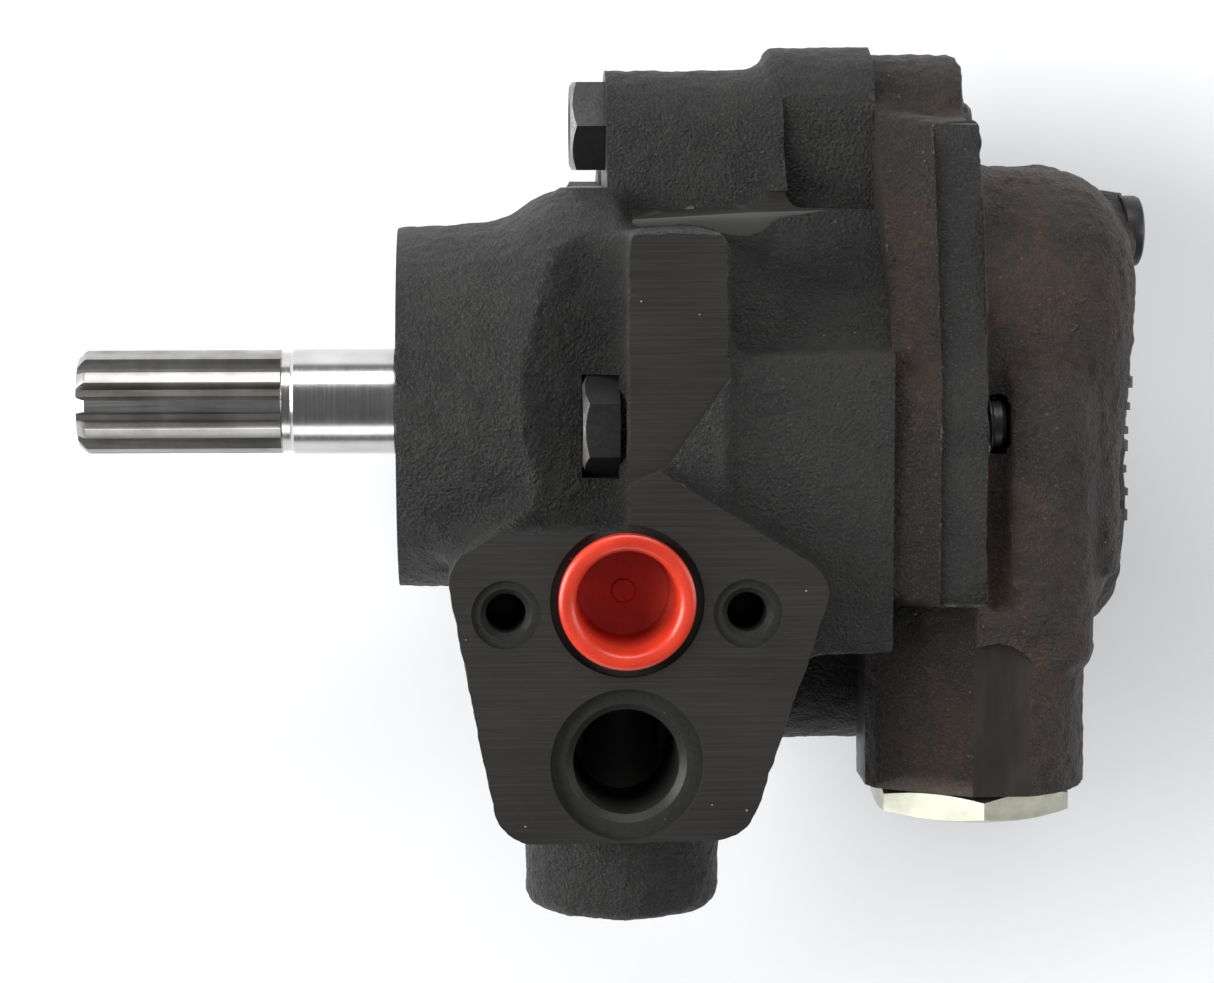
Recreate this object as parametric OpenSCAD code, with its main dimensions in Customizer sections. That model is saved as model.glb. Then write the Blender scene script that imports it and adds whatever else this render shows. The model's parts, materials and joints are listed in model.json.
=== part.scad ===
// Hydraulic gear pump: splined drive shaft, two meshed gears, cast front body
// and a cast rear cover that holds the flow and relief valve.
// +X runs from the shaft end to the rear cover, +Z is the normal of the port pad,
// and the origin is the centre of the nose's front face, on the shaft axis.

/* [Shaft] */
// Diameter of the smooth shaft journal
journal_d = 19.05; // [18.95:0.01:19.15]
// Length of shaft that stands out of the nose
shaft_reach = 57.6; // [50:0.1:60]
// Length of the splined end
spline_length = 36.5; // [30:0.1:37]
// Diameter over the spline teeth
spline_d = 18.8; // [18.4:0.1:18.9]
// Number of spline teeth
spline_teeth = 11; // [11:1:11]
// Diameter of the inner part of the shafts, under the gears
inner_shaft_d = 16; // [15.5:0.1:16]

/* [Gears] */
// Tooth module
gear_module = 3; // [2.9:0.05:3]
// Teeth on each gear
gear_teeth = 10; // [10:1:10]
// Pressure angle of the teeth in degrees
pressure_angle = 28; // [27:0.5:30]
// Width of each gear
gear_width = 24; // [22:0.5:24]
// Gap between gear tips and the chamber wall
tip_gap = 0.05; // [0.03:0.01:0.1]

/* [Front body] */
// Diameter of the nose
nose_d = 66; // [64:0.5:68]
// Distance from the nose's front face to the joint with the cover
joint_x = 86; // [86:0.5:87]
// Height of the port pad's face above the shaft axis
pad_z = 44; // [43.5:0.1:45]
// Depth of the resting face below the shaft axis
foot_z = -58; // [-60:0.5:-58]
// Diameter of the bearing and seal bore in the nose
nose_bore_d = 40; // [40:0.1:40]
// Bolt circle of the tapped holes in the nose's front face
nose_pcd = 54; // [53.5:0.1:54.5]
// Drilled diameter of an M8 tapped hole
m8_drill_d = 6.8; // [6.6:0.1:7]

/* [Ports] */
// Drilled diameter of the two ports
port_d = 18.3; // [18:0.1:18.5]
// Diameter of the spot face round each port
port_face_d = 26.3; // [26:0.1:27]
// Distance between the two tapped holes in the pad
pad_spacing = 41.2; // [41:0.1:41.5]
// Diameter of the hub below the pad
hub_d = 34.6; // [34:0.2:36]
// Diameter of the port in the hub's end
hub_port_d = 16; // [15:0.5:17]

/* [Rear cover] */
// Thickness of the cover's flange
flange_t = 16.5; // [16:0.1:17]
// Rearmost face of the cover
cover_back_x = 133.5; // [133:0.1:134]
// Width across the flats of the valve plug's head
plug_af = 33; // [32:0.5:34]
// Diameter of the flow spool
spool_d = 16; // [15:0.1:16]

/* [Fasteners] */
// Width across the flats of the bolt heads
bolt_af = 16; // [15:0.5:16]
// Height of the bolt heads
bolt_head_h = 6.4; // [6:0.1:6.8]
// Length of the cover bolts under the head
bolt_length = 67.5; // [66:0.5:68]

/* [Hidden] */

$fn = 96;

// A small overlap that keeps cuts clean, and the gap between faces that pass
cut = 0.5;
face_gap = 0.1;
running_gap = 0.03;

cast_black = [0.13, 0.13, 0.13];
cast_brown = [0.17, 0.14, 0.12];
black_oxide = [0.07, 0.07, 0.08];
ground_steel = [0.72, 0.72, 0.74];
bearing_steel = [0.62, 0.64, 0.67];
aluminium = [0.78, 0.79, 0.8];
bronze = [0.72, 0.55, 0.3];
nitrile = [0.05, 0.05, 0.05];
zinc = [0.74, 0.73, 0.6];
cap_red = [0.85, 0.17, 0.08];

// Shaft and nose
journal_r = journal_d / 2;
inner_shaft_r = inner_shaft_d / 2;
shaft_tip_x = -shaft_reach;
spline_end_x = shaft_tip_x + spline_length;
journal_start_x = spline_end_x + 2.4;
bearing_seat_r = 8.5;
// The shaft is ground a little smaller where the seal runs
seal_land_r = journal_r - 0.2;
journal_end_x = -0.8;
shaft_end_x = 103;
nose_r = nose_d / 2;
nose_end_x = 20;
collar_r = 38.2;
collar_x = 32;
case_x = 38;
nose_bore_r = nose_bore_d / 2;
nose_hole_depth = 15;

// Seal and ball bearing in the nose
seal_x = 2.5;
seal_t = 8;
snap_x = 11.2;
snap_t = 1.7;
bearing_x = 13;
bearing_t = 12;
bearing_back_x = bearing_x + bearing_t;
ball_r = 3.37;
ball_pitch_r = 14.25;
ball_count = 8;
relief_bore_r = 15;
wall_x = 30;

// Gear set: the idler lies below the drive gear
gear_pitch_r = gear_module * gear_teeth / 2;
gear_tip_r = gear_pitch_r + gear_module;
gear_root_r = gear_pitch_r - 1.2 * gear_module;
gear_base_r = gear_pitch_r * cos(pressure_angle);
gear_backlash = 0.14;
idler_z = -2 * gear_pitch_r;
chamber_r = gear_tip_r + tip_gap;
block_r = gear_tip_r;
gear_x = 54 + face_gap;
block_end_x = 54;
plate_x = gear_x + gear_width + face_gap;
plate_end_x = joint_x - face_gap;
key_side = 4;
key_x = 56;
key_length = 20;
key_floor_z = inner_shaft_r - 0.45 * key_side;
bushing_r = 9.9;
seal_groove_r = 18.8;

// Case and flange outline, as distances along Y and Z from the shaft axis
case_top_r = 30;
case_low_r = 27.4;
ear_r = 13;
foot_ear_r = 12.6;
idler_wall_r = 22.5;
flange_x = 67;
bolt_r = 5;
bolt_clear_r = 5.3;
// Each bolt: y, z, x of its seat, and how far its head is turned
bolts = [
    [49.7, -10, 37.7, 0],
    [-2.2, 26.5, 38.7, 16],
    [-49.7, -10, 37.7, 8],
    [30, -44.5, 37.7, 21],
    [-30, -44.5, 37.7, 3]
];
near_bolt = bolts[1];
dowels = [[40, -30], [-40, -30]];
dowel_r = 3;
dowel_half = 6;

// Near block, milled ridge and pad on the +Z side
block_x = 57;
block_low_y = -42.1;
ridge_x = 38.7;
ridge_z = 40;
ridge_top_y = 30.8;
ridge_corner_r = 5;
port_x = 39.4;
port_1_y = -30.8;
port_2_y = -59;
port_r = port_d / 2;
port_face_r = port_face_d / 2;
port_face_t = 1.8;
pad_t = 22;
pad_holes_y = -33;
pad_hole_depth = 17;
pad_hole_face_r = 5.9;
m8_r = m8_drill_d / 2;
// Corners of the pad, along X and Y, each with its own corner radius
pad_corners = [
    [39.8, -13.4, 6.4],
    [15.2, -27.6, 6],
    [23.6, -65.6, 7],
    [54.9, -65.4, 6.8],
    [67.7, -29.8, 6]
];
hub_x = 40;
hub_z = 10;
hub_r = hub_d / 2;
hub_end_y = -90;
hub_port_r = hub_port_d / 2;
gallery_r = 5;
gallery_x = 66;
gallery_z = 0;

// Rear cover
flange_back_x = joint_x + flange_t;
band_x = flange_back_x - 5.5;
shoulder_y = 51;
shoulder_low_y = -33;
dome_top_y = 42.4;
dome_low_y = -47.4;
dome_near_z = 28;
dome_far_z = -45;
dome_round_x = 121.5;
housing_x = 112.8;
housing_z = 22.8;
housing_r = 10.2;
housing_top_y = 2;
valve_x = 102.5;
valve_z = 14.5;
valve_boss_r = 20.3;
valve_boss_y = -67.3;
valve_boss_top_y = -34;
plug_thread_r = 12.9;
plug_bore_y = -52;
spool_r = spool_d / 2;
spool_bore_r = spool_r + running_gap;
spool_top_y = -16.3;
spool_length = 20;
spool_low_y = spool_top_y - spool_length;
plug_head_h = 5.2;
plug_pocket_y = -61;
spring_wire_r = 0.9;
relief_bore_y = -22;
relief_hole_r = 2;
relief_room_r = 5.2;
poppet_r = 3.8;
retainer_t = 1.8;
rear_plug_y = 30.5;
rear_plug_z = -3;
rear_plug_r = 6.5;
rear_plug_t = 3.6;
rear_plug_seat_x = 132;

// ---- helpers: a shape drawn in one plane and pushed along one axis ----

// Pushes a shape drawn as (y, z) from x0 to x1
module slab_x(x0, x1) {
    translate([x0, 0, 0])
        rotate([90, 0, 90])
            linear_extrude(x1 - x0)
                children();
}

// Pushes a shape drawn as (x, z) from y0 to y1
module slab_y(y0, y1) {
    translate([0, y1, 0])
        rotate([90, 0, 0])
            linear_extrude(y1 - y0)
                children();
}

// Pushes a shape drawn as (x, y) from z0 to z1
module slab_z(z0, z1) {
    translate([0, 0, z0])
        linear_extrude(z1 - z0)
            children();
}

module rod_x(x0, x1, r, y = 0, z = 0) {
    translate([x0, y, z])
        rotate([0, 90, 0])
            cylinder(h = x1 - x0, r = r);
}

module rod_y(y0, y1, r, x, z) {
    translate([x, y0, z])
        rotate([-90, 0, 0])
            cylinder(h = y1 - y0, r = r);
}

module rod_z(z0, z1, r, x, y) {
    translate([x, y, z0])
        cylinder(h = z1 - z0, r = r);
}

// Turns a profile of (radius, x) points about the X axis
module turned_x(points, z = 0) {
    translate([0, 0, z])
        rotate([0, 90, 0])
            rotate_extrude()
                polygon(points);
}

module ring_x(x0, x1, outer_r, inner_r, z = 0) {
    difference() {
        rod_x(x0, x1, outer_r, 0, z);
        rod_x(x0 - cut, x1 + cut, inner_r, 0, z);
    }
}

// A hexagon bar along X with its outer end chamfered, corner towards +Z
module hex_head(af, height, turn) {
    corner_r = af / sqrt(3);
    intersection() {
        rotate([turn, 0, 0])
            rotate([0, 90, 0])
                cylinder(h = height, r = corner_r, $fn = 6);
        turned_x([
            [0, 0],
            [af / 2 * 0.96, 0],
            [corner_r + 0.5, height * 0.2],
            [corner_r + 0.5, height],
            [0, height]
        ]);
    }
}

// A round-wire compression spring that stands along +Z
module coil(mean_r, wire_r, turns, length) {
    steps = 20 * turns;
    sides = 8;
    rise = (length - 2 * wire_r) / steps;
    points = [
        for (i = [0:steps], j = [0:sides - 1])
            let (turn = 18 * i, spin = 360 * j / sides)
            let (reach = mean_r + wire_r * cos(spin))
            [reach * cos(turn), reach * sin(turn), wire_r + i * rise + wire_r * sin(spin)]
    ];
    walls = [
        for (i = [0:steps - 1], j = [0:sides - 1])
            let (k = (j + 1) % sides)
            [i * sides + j, i * sides + k, (i + 1) * sides + k, (i + 1) * sides + j]
    ];
    first_cap = [for (j = [0:sides - 1]) sides - 1 - j];
    last_cap = [for (j = [0:sides - 1]) steps * sides + j];
    polyhedron(points, concat(walls, [first_cap, last_cap]));
}

// ---- gear teeth ----

function involute(angle) = tan(angle) * 180 / PI - angle;

// Half of a tooth's width at radius r, as an angle
function half_tooth(r) =
    (PI * gear_module / 2 - gear_backlash) / gear_pitch_r * 90 / PI
    + involute(pressure_angle)
    - involute(acos(min(1, gear_base_r / r)));

function around(r, angle) = [r * cos(angle), r * sin(angle)];

flank_steps = 6;
flank_radii = concat(
    [gear_root_r],
    [for (i = [0:flank_steps]) gear_base_r + (gear_tip_r - gear_base_r) * i / flank_steps]
);

module gear_outline() {
    last = len(flank_radii) - 1;
    polygon([
        for (k = [0:gear_teeth - 1])
            let (middle = 90 + 360 * k / gear_teeth)
            for (i = [0:2 * last + 1])
                let (r = flank_radii[i <= last ? i : 2 * last + 1 - i])
                let (half = half_tooth(max(r, gear_base_r)))
                around(r, middle + (i <= last ? -half : half))
    ]);
}

// ---- outlines shared by the body and the cover, as (y, z) ----

// The gear case: round the drive gear, round the idler, flat at the bottom
module case_outline() {
    intersection() {
        union() {
            circle(case_top_r);
            translate([0, idler_z]) circle(case_low_r);
            polygon([
                [0.7 - case_top_r, -5],
                [case_top_r - 0.7, -5],
                [case_low_r - 0.3, idler_z - 2],
                [0.3 - case_low_r, idler_z - 2]
            ]);
        }
        translate([-80, foot_z]) square([160, 120]);
    }
}

// The flange: an ear round every bolt, a wide foot and the case behind them
module flange_outline() {
    ear = bolts[0];
    foot_y = 41;
    circle(case_top_r);
    for (side = [-1, 1])
        translate([side * ear.x, ear.y]) circle(ear_r);
    for (i = [3, 4])
        translate([bolts[i].x, bolts[i].y]) circle(foot_ear_r);
    polygon([
        for (side = [1, -1])
            let (right = [
                [foot_y, foot_z],
                [ear.x + 9.8, ear.y - 7],
                [ear.x + 0.3, ear.y + 12.5],
                [38, 7],
                [20, 21]
            ])
            for (k = [0:4])
                let (corner = right[side > 0 ? k : 4 - k])
                [side * corner.x, corner.y]
    ]);
}

module bolt_holes(x0, x1, r) {
    for (bolt = bolts)
        rod_x(x0, x1, r, bolt.x, bolt.y);
}

module dowel_holes() {
    for (place = dowels)
        rod_x(joint_x - dowel_half, joint_x + dowel_half, dowel_r, place.x, place.y);
}

// Both gear circles of radius r, as (y, z)
module gear_pair_outline(r) {
    circle(r);
    translate([0, idler_z]) circle(r);
}

// A long round outline that runs round both gear circles
module seal_outline(r) {
    polygon(concat(
        [for (a = [0:6:180]) around(r, a)],
        [for (a = [180:6:360]) [0, idler_z] + around(r, a)]
    ));
}

// ---- front body ----

// Nose and collar, blended by a half cosine wave
module nose() {
    blend = [
        for (t = [0:0.125:1])
            [
                nose_r + (collar_r - nose_r) * (1 - cos(180 * t)) / 2,
                nose_end_x + (collar_x - nose_end_x) * t
            ]
    ];
    turned_x(concat([[0, 0], [nose_r, 0]], blend, [[collar_r, case_x + 1], [0, case_x + 1]]));
}

// Lugs that carry the bolts from their seats back to the flange
module bolt_lugs() {
    for (side = [0, 2]) {
        lug_y = bolts[side].x;
        inward = lug_y > 0 ? -1 : 1;
        slab_x(bolts[side].z, flange_x + 1)
            hull() {
                translate([lug_y + 2 * inward, bolts[side].y]) circle(12.2, $fn = 48);
                translate([lug_y + 20 * inward, bolts[side].y + 1]) circle(13, $fn = 48);
            }
    }
    for (side = [3, 4])
        rod_x(bolts[side].z, flange_x + 1, 11.5, bolts[side].x, bolts[side].y);
}

// The block on the +Z side, sloping towards the joint
module near_block() {
    intersection() {
        slab_y(block_low_y, 15)
            polygon([
                [block_x - 1, -20],
                [joint_x, -20],
                [joint_x, 34.4],
                [block_x - 1, 39]
            ]);
        slab_z(-20, ridge_z)
            polygon([
                [block_x - 1, block_low_y],
                [joint_x, block_low_y],
                [joint_x, 11.3],
                [block_x - 1, 6]
            ]);
    }
}

// The ridge round the near bolt, with a milled strip as its face
module bolt_ridge() {
    corner = [block_x - ridge_corner_r, ridge_top_y - ridge_corner_r];
    slab_z(0, ridge_z)
        polygon(concat(
            [[ridge_x, -40], [block_x, -40]],
            [
                for (a = [0:15:90])
                    corner + around(ridge_corner_r, a)
            ],
            [[ridge_x, ridge_top_y]]
        ));
}

module pad_outline(inset) {
    hull()
        for (corner = pad_corners)
            translate([corner.x, corner.y]) circle(corner.z - inset, $fn = 48);
}

// The port pad, and the neck that carries it down to the case and the hub
module port_pad() {
    slab_z(pad_z - pad_t, pad_z)
        pad_outline(0);
    slab_z(0, pad_z - pad_t + 1)
        hull() {
            translate([port_x, -24]) circle(16, $fn = 48);
            translate([port_x, port_2_y]) circle(14.5, $fn = 48);
        }
}

module inlet_hub() {
    round_r = 3;
    translate([hub_x, hub_end_y, hub_z])
        rotate([-90, 0, 0])
            rotate_extrude()
                polygon(concat(
                    [[0, 0]],
                    [
                        for (a = [0:15:90])
                            [hub_r - round_r + round_r * sin(a), round_r - round_r * cos(a)]
                    ],
                    [[hub_r, -hub_end_y - 24], [0, -hub_end_y - 24]]
                ));
}

module port(y, floor_z) {
    rod_z(floor_z, pad_z + cut, port_r, port_x, y);
    rod_z(pad_z - port_face_t, pad_z + cut, port_face_r, port_x, y);
}

// Clears the casting round the near bolt's head
module near_bolt_seat() {
    seat_r = 11.5;
    rod_x(near_bolt.z - 9.5, near_bolt.z, seat_r, near_bolt.x, near_bolt.y);
    translate([near_bolt.z - 9.5, near_bolt.x - seat_r, near_bolt.y])
        cube([9.5, 2 * seat_r, 20]);
}

// Room for each bolt head under the pad and beside the hub
module head_rooms() {
    for (bolt = bolts)
        rod_x(bolt.z - bolt_head_h - 1.2, bolt.z, bolt_af / 2 + 2, bolt.x, bolt.y);
}

module front_body() {
    color(cast_black)
        difference() {
            union() {
                difference() {
                    union() {
                        nose();
                        slab_x(case_x, flange_x + 1) case_outline();
                        rod_x(case_x - 7, case_x + 1, idler_wall_r, 0, idler_z);
                        translate([case_x, -20, foot_z]) cube([flange_x + 1 - case_x, 40, 20]);
                        bolt_lugs();
                        bolt_ridge();
                    }
                    near_bolt_seat();
                }
                slab_x(flange_x, joint_x) flange_outline();
                near_block();
                port_pad();
                inlet_hub();
            }
            // Nose: seal and bearing bore, ring groove, relief and shaft hole
            rod_x(-cut, bearing_back_x, nose_bore_r);
            rod_x(snap_x, snap_x + snap_t, nose_bore_r + 1.2);
            rod_x(bearing_back_x - cut, wall_x, relief_bore_r);
            rod_x(wall_x - cut, case_x + cut, inner_shaft_r + 1);
            for (a = [45:90:315])
                rod_x(
                    -cut, nose_hole_depth, m8_r,
                    nose_pcd / 2 * cos(a), nose_pcd / 2 * sin(a)
                );
            // Gear chamber
            rod_x(case_x, joint_x + cut, chamber_r);
            rod_x(case_x, joint_x + cut, chamber_r, 0, idler_z);
            bolt_holes(30, joint_x + cut, bolt_clear_r);
            head_rooms();
            dowel_holes();
            // Ports, hub port and the galleries behind them
            port(port_1_y, gallery_z + 2);
            port(port_2_y, hub_z - 4);
            rod_y(hub_end_y - cut, port_2_y + 4, hub_port_r, hub_x, hub_z);
            rod_x(port_x, gallery_x, gallery_r, port_1_y, gallery_z);
            rod_y(port_1_y, -12, gallery_r, gallery_x - 7, gallery_z - 7);
            for (side = [-1, 1]) {
                hole_x = port_x + side * pad_spacing / 2;
                rod_z(pad_z - pad_hole_depth, pad_z + cut, m8_r, hole_x, pad_holes_y);
                rod_z(pad_z - 1, pad_z + cut, pad_hole_face_r, hole_x, pad_holes_y);
            }
        }
}

// ---- rear cover ----

// Near side of the flange at t = 0 (joint) to 1 (ground band)
module shoulder_outline(t) {
    polygon([
        [shoulder_y + 1 - t, -5],
        [shoulder_y + 1 - 2 * t, 5 + 15 * t],
        [13, 21 + 9 * t],
        [5, 32.2 + 1.8 * t],
        [shoulder_low_y, 32.2 + 1.8 * t],
        [shoulder_low_y, -5]
    ]);
}

module cover_flange() {
    slab_x(joint_x, flange_back_x - 1.5) flange_outline();
    hull() {
        slab_x(joint_x, joint_x + face_gap) shoulder_outline(0);
        slab_x(band_x - face_gap, band_x) shoulder_outline(1);
    }
    slab_x(band_x, flange_back_x) shoulder_outline(1);
}

module dome_outline(inset) {
    near_r = 24;
    far_r = 18;
    hull() {
        translate([dome_top_y - near_r, dome_near_z - near_r])
            circle(near_r - inset, $fn = 64);
        translate([dome_low_y + near_r, dome_near_z - near_r])
            circle(near_r - inset, $fn = 64);
        translate([dome_top_y - 8 - far_r, dome_far_z + far_r])
            circle(far_r - inset, $fn = 48);
        translate([dome_low_y + 8 + far_r, dome_far_z + far_r])
            circle(far_r - inset, $fn = 48);
    }
}

module cover_dome() {
    // Where each step of the rounded back starts, and how far it is inset
    steps = [
        [flange_back_x - 2, 0],
        [dome_round_x, 1.2],
        [dome_round_x + 4, 3],
        [dome_round_x + 7.5, 5],
        [cover_back_x - 1.2, 7]
    ];
    for (i = [0:len(steps) - 1]) {
        end_x = i < len(steps) - 1 ? steps[i + 1].x : cover_back_x;
        slab_x(steps[i].x, end_x) dome_outline(steps[i].y);
    }
}

// An upright core with a domed top, and the web that ties it to the flange
module valve_housing() {
    low_y = shoulder_low_y - 8;
    translate([housing_x, low_y, housing_z])
        rotate([-90, 0, 0])
            rotate_extrude()
                polygon(concat(
                    [[0, 0]],
                    [
                        for (a = [0:10:90])
                            [0, housing_top_y - low_y] + around(housing_r, a)
                    ]
                ));
    translate([flange_back_x - 1, low_y + 1, 0])
        cube([housing_x - flange_back_x - 1, housing_top_y - low_y, 26]);
}

// The boss round the valve bore, with three milled flats
module valve_boss() {
    flats = [
        [83, -6],
        [83, 23.5],
        [100.5, 33.2],
        [111, 33.2],
        [123.2, 25.5],
        [123.2, -6]
    ];
    difference() {
        slab_y(valve_boss_y, valve_boss_top_y)
            intersection() {
                translate([valve_x, valve_z]) circle(valve_boss_r);
                polygon(flats);
            }
        translate([joint_x - 20, block_low_y - 0.4, -30]) cube([20, 60, 80]);
        translate([joint_x - 20, valve_boss_y - cut, -30]) cube([20, 60, 33.6]);
    }
}

module cover_cuts() {
    rod_x(joint_x - cut, shaft_end_x + 2, bushing_r);
    rod_x(joint_x - cut, shaft_end_x + 2, bushing_r, 0, idler_z);
    bolt_holes(joint_x - cut, joint_x + 20.5, bolt_r + 0.02);
    bolt_holes(flange_back_x, joint_x + 21, bolt_r + 1.2);
    dowel_holes();
    slab_x(joint_x - cut, joint_x + 2)
        difference() {
            seal_outline(seal_groove_r + 1.8);
            seal_outline(seal_groove_r);
        }
    rod_y(valve_boss_y - cut, plug_bore_y, plug_thread_r, valve_x, valve_z);
    rod_y(valve_boss_y - cut, valve_boss_y + 2.2, plug_thread_r + 1.9, valve_x, valve_z);
    rod_y(plug_bore_y - cut, spool_top_y + 0.3, spool_bore_r, valve_x, valve_z);
    rod_x(rear_plug_seat_x - 9, cover_back_x + cut, 4.2, rear_plug_y, rear_plug_z);
    rod_x(rear_plug_seat_x, cover_back_x + cut, rear_plug_r + 0.3, rear_plug_y, rear_plug_z);
}

module rear_cover() {
    color(cast_brown)
        difference() {
            union() {
                cover_flange();
                cover_dome();
                valve_housing();
                valve_boss();
            }
            cover_cuts();
        }
}

// ---- fasteners and static seals ----

module cover_bolts() {
    color(black_oxide)
        for (bolt = bolts) {
            translate([bolt.z - bolt_head_h, bolt.x, bolt.y])
                hex_head(bolt_af, bolt_head_h, bolt[3]);
            translate([0, bolt.x, bolt.y])
                turned_x([
                    [0, bolt.z - cut],
                    [bolt_r, bolt.z - cut],
                    [bolt_r, bolt.z + bolt_length - 1],
                    [bolt_r - 1, bolt.z + bolt_length],
                    [0, bolt.z + bolt_length]
                ]);
        }
}

module dowel_pins() {
    color(ground_steel)
        for (place = dowels)
            rod_x(
                joint_x - dowel_half + 0.3, joint_x + dowel_half - 0.3,
                dowel_r, place.x, place.y
            );
}

module cover_seal() {
    color(nitrile)
        slab_x(joint_x, joint_x + 1.9)
            difference() {
                seal_outline(seal_groove_r + 1.7);
                seal_outline(seal_groove_r + 0.1);
            }
}

// ---- drive line ----

module spline_outline() {
    root_r = spline_d / 2 - 1.55;
    polygon([
        for (k = [0:spline_teeth - 1])
            let (middle = 90 + 360 * k / spline_teeth)
            for (corner = [[root_r, -10], [spline_d / 2, -6.2], [spline_d / 2, 6.2], [root_r, 10]])
                around(corner.x, middle + corner.y)
    ]);
}

module drive_shaft() {
    color(ground_steel)
        difference() {
            union() {
                intersection() {
                    slab_x(shaft_tip_x, spline_end_x) spline_outline();
                    turned_x([
                        [0, shaft_tip_x],
                        [spline_d / 2 - 1.6, shaft_tip_x],
                        [spline_d / 2 + 0.2, shaft_tip_x + 1.8],
                        [spline_d / 2 + 0.2, spline_end_x],
                        [0, spline_end_x]
                    ]);
                }
                turned_x([
                    [0, spline_end_x - cut],
                    [spline_d / 2 - 1.6, spline_end_x - cut],
                    [spline_d / 2 - 0.6, spline_end_x + 0.6],
                    [journal_r - 0.6, journal_start_x - 0.6],
                    [journal_r, journal_start_x],
                    [journal_r, journal_end_x],
                    [seal_land_r, journal_end_x + 0.2],
                    [seal_land_r, bearing_x - 0.1],
                    [bearing_seat_r, bearing_x - 0.1],
                    [bearing_seat_r, wall_x - 2],
                    [inner_shaft_r, wall_x - 1],
                    [inner_shaft_r, shaft_end_x - 1],
                    [inner_shaft_r - 1, shaft_end_x],
                    [0, shaft_end_x]
                ]);
            }
            ring_x(bearing_back_x + 0.1, bearing_back_x + 1.3, bearing_seat_r + 2, bearing_seat_r - 0.5);
            translate([key_x, -key_side / 2, key_floor_z])
                cube([key_length, key_side, key_side]);
            // Centre drilled in the splined end
            turned_x([
                [0, shaft_tip_x - cut],
                [3 + cut, shaft_tip_x - cut],
                [1.2, shaft_tip_x + 2],
                [1.2, shaft_tip_x + 5],
                [0, shaft_tip_x + 6]
            ]);
        }
}

module drive_gear() {
    color(bearing_steel)
        difference() {
            slab_x(gear_x, gear_x + gear_width) gear_outline();
            rod_x(gear_x - cut, gear_x + gear_width + cut, inner_shaft_r);
            translate([gear_x - cut, -key_side / 2, 0])
                cube([gear_width + 2 * cut, key_side, key_floor_z + key_side + 0.1]);
        }
}

module gear_key() {
    color(ground_steel)
        translate([key_x + 0.05, -key_side / 2 + 0.01, key_floor_z])
            cube([key_length - 0.1, key_side - 0.02, key_side]);
}

module idler_shaft() {
    color(ground_steel)
        turned_x([
            [0, case_x + 0.5],
            [inner_shaft_r - 1, case_x + 0.5],
            [inner_shaft_r, case_x + 1.5],
            [inner_shaft_r, shaft_end_x - 1],
            [inner_shaft_r - 1, shaft_end_x],
            [0, shaft_end_x]
        ], idler_z);
}

// The idler is turned by half a tooth so that the pair is in mesh
module idler_gear() {
    color(bearing_steel)
        difference() {
            slab_x(gear_x, gear_x + gear_width)
                translate([0, idler_z])
                    rotate(180 / gear_teeth)
                        gear_outline();
            rod_x(gear_x - cut, gear_x + gear_width + cut, inner_shaft_r, 0, idler_z);
        }
}

// A bearing block: a round body with a flat where it meets its neighbour
module bearing_block(z, flat_side) {
    half_gap = 0.02;
    flat_z = idler_z / 2 + flat_side * half_gap;
    intersection() {
        ring_x(case_x + face_gap, block_end_x, block_r, bushing_r, z);
        translate([case_x, -40, flat_side > 0 ? flat_z : flat_z - 60])
            cube([block_end_x - case_x + 1, 80, 60]);
    }
}

module front_block_drive() {
    color(aluminium) bearing_block(0, 1);
}

module front_block_idler() {
    color(aluminium) bearing_block(idler_z, -1);
}

module bushing(x0, x1, z) {
    ring_x(x0, x1, bushing_r, inner_shaft_r + running_gap, z);
}

module front_bushing_drive() {
    color(bronze) bushing(case_x + 0.5, block_end_x - 0.3, 0);
}

module front_bushing_idler() {
    color(bronze) bushing(case_x + 0.5, block_end_x - 0.3, idler_z);
}

module rear_bushing_drive() {
    color(bronze) bushing(joint_x + 0.5, shaft_end_x - 0.5, 0);
}

module rear_bushing_idler() {
    color(bronze) bushing(joint_x + 0.5, shaft_end_x - 0.5, idler_z);
}

module plate_seal_outline(inner_r, outer_r) {
    difference() {
        gear_pair_outline(outer_r);
        gear_pair_outline(inner_r);
    }
}

module pressure_plate() {
    color(bronze)
        difference() {
            slab_x(plate_x, plate_end_x) gear_pair_outline(block_r);
            rod_x(plate_x - cut, joint_x + cut, inner_shaft_r + 0.3);
            rod_x(plate_x - cut, joint_x + cut, inner_shaft_r + 0.3, 0, idler_z);
            slab_x(plate_end_x - 1.9, plate_end_x + cut) plate_seal_outline(13.9, 15.9);
        }
}

module pressure_plate_seal() {
    color(nitrile)
        slab_x(plate_end_x - 1.8, joint_x - 0.02) plate_seal_outline(14, 15.8);
}

// ---- shaft seal and ball bearing ----

module seal_case() {
    color(bearing_steel)
        turned_x([
            [nose_bore_r, seal_x],
            [nose_bore_r, seal_x + seal_t],
            [nose_bore_r - 1.2, seal_x + seal_t],
            [nose_bore_r - 1.2, seal_x + 1.2],
            [12.2, seal_x + 1.2],
            [12.2, seal_x]
        ]);
}

module seal_lip() {
    lip_r = seal_land_r + 0.06;
    color(nitrile)
        difference() {
            turned_x([
                [nose_bore_r - 1.25, seal_x + 1.25],
                [nose_bore_r - 1.25, seal_x + 2.8],
                [13.4, seal_x + 2.8],
                [13.4, seal_x + 7.4],
                [11.2, seal_x + 7.4],
                [lip_r, seal_x + 5],
                [lip_r, seal_x + 4.3],
                [11.6, seal_x + 1.25]
            ]);
            garter_ring(0.75);
        }
}

module garter_ring(r) {
    translate([seal_x + 5.6, 0, 0])
        rotate([0, 90, 0])
            rotate_extrude()
                translate([13.6, 0]) circle(r, $fn = 24);
}

module garter_spring() {
    color(ground_steel) garter_ring(0.7);
}

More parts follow.
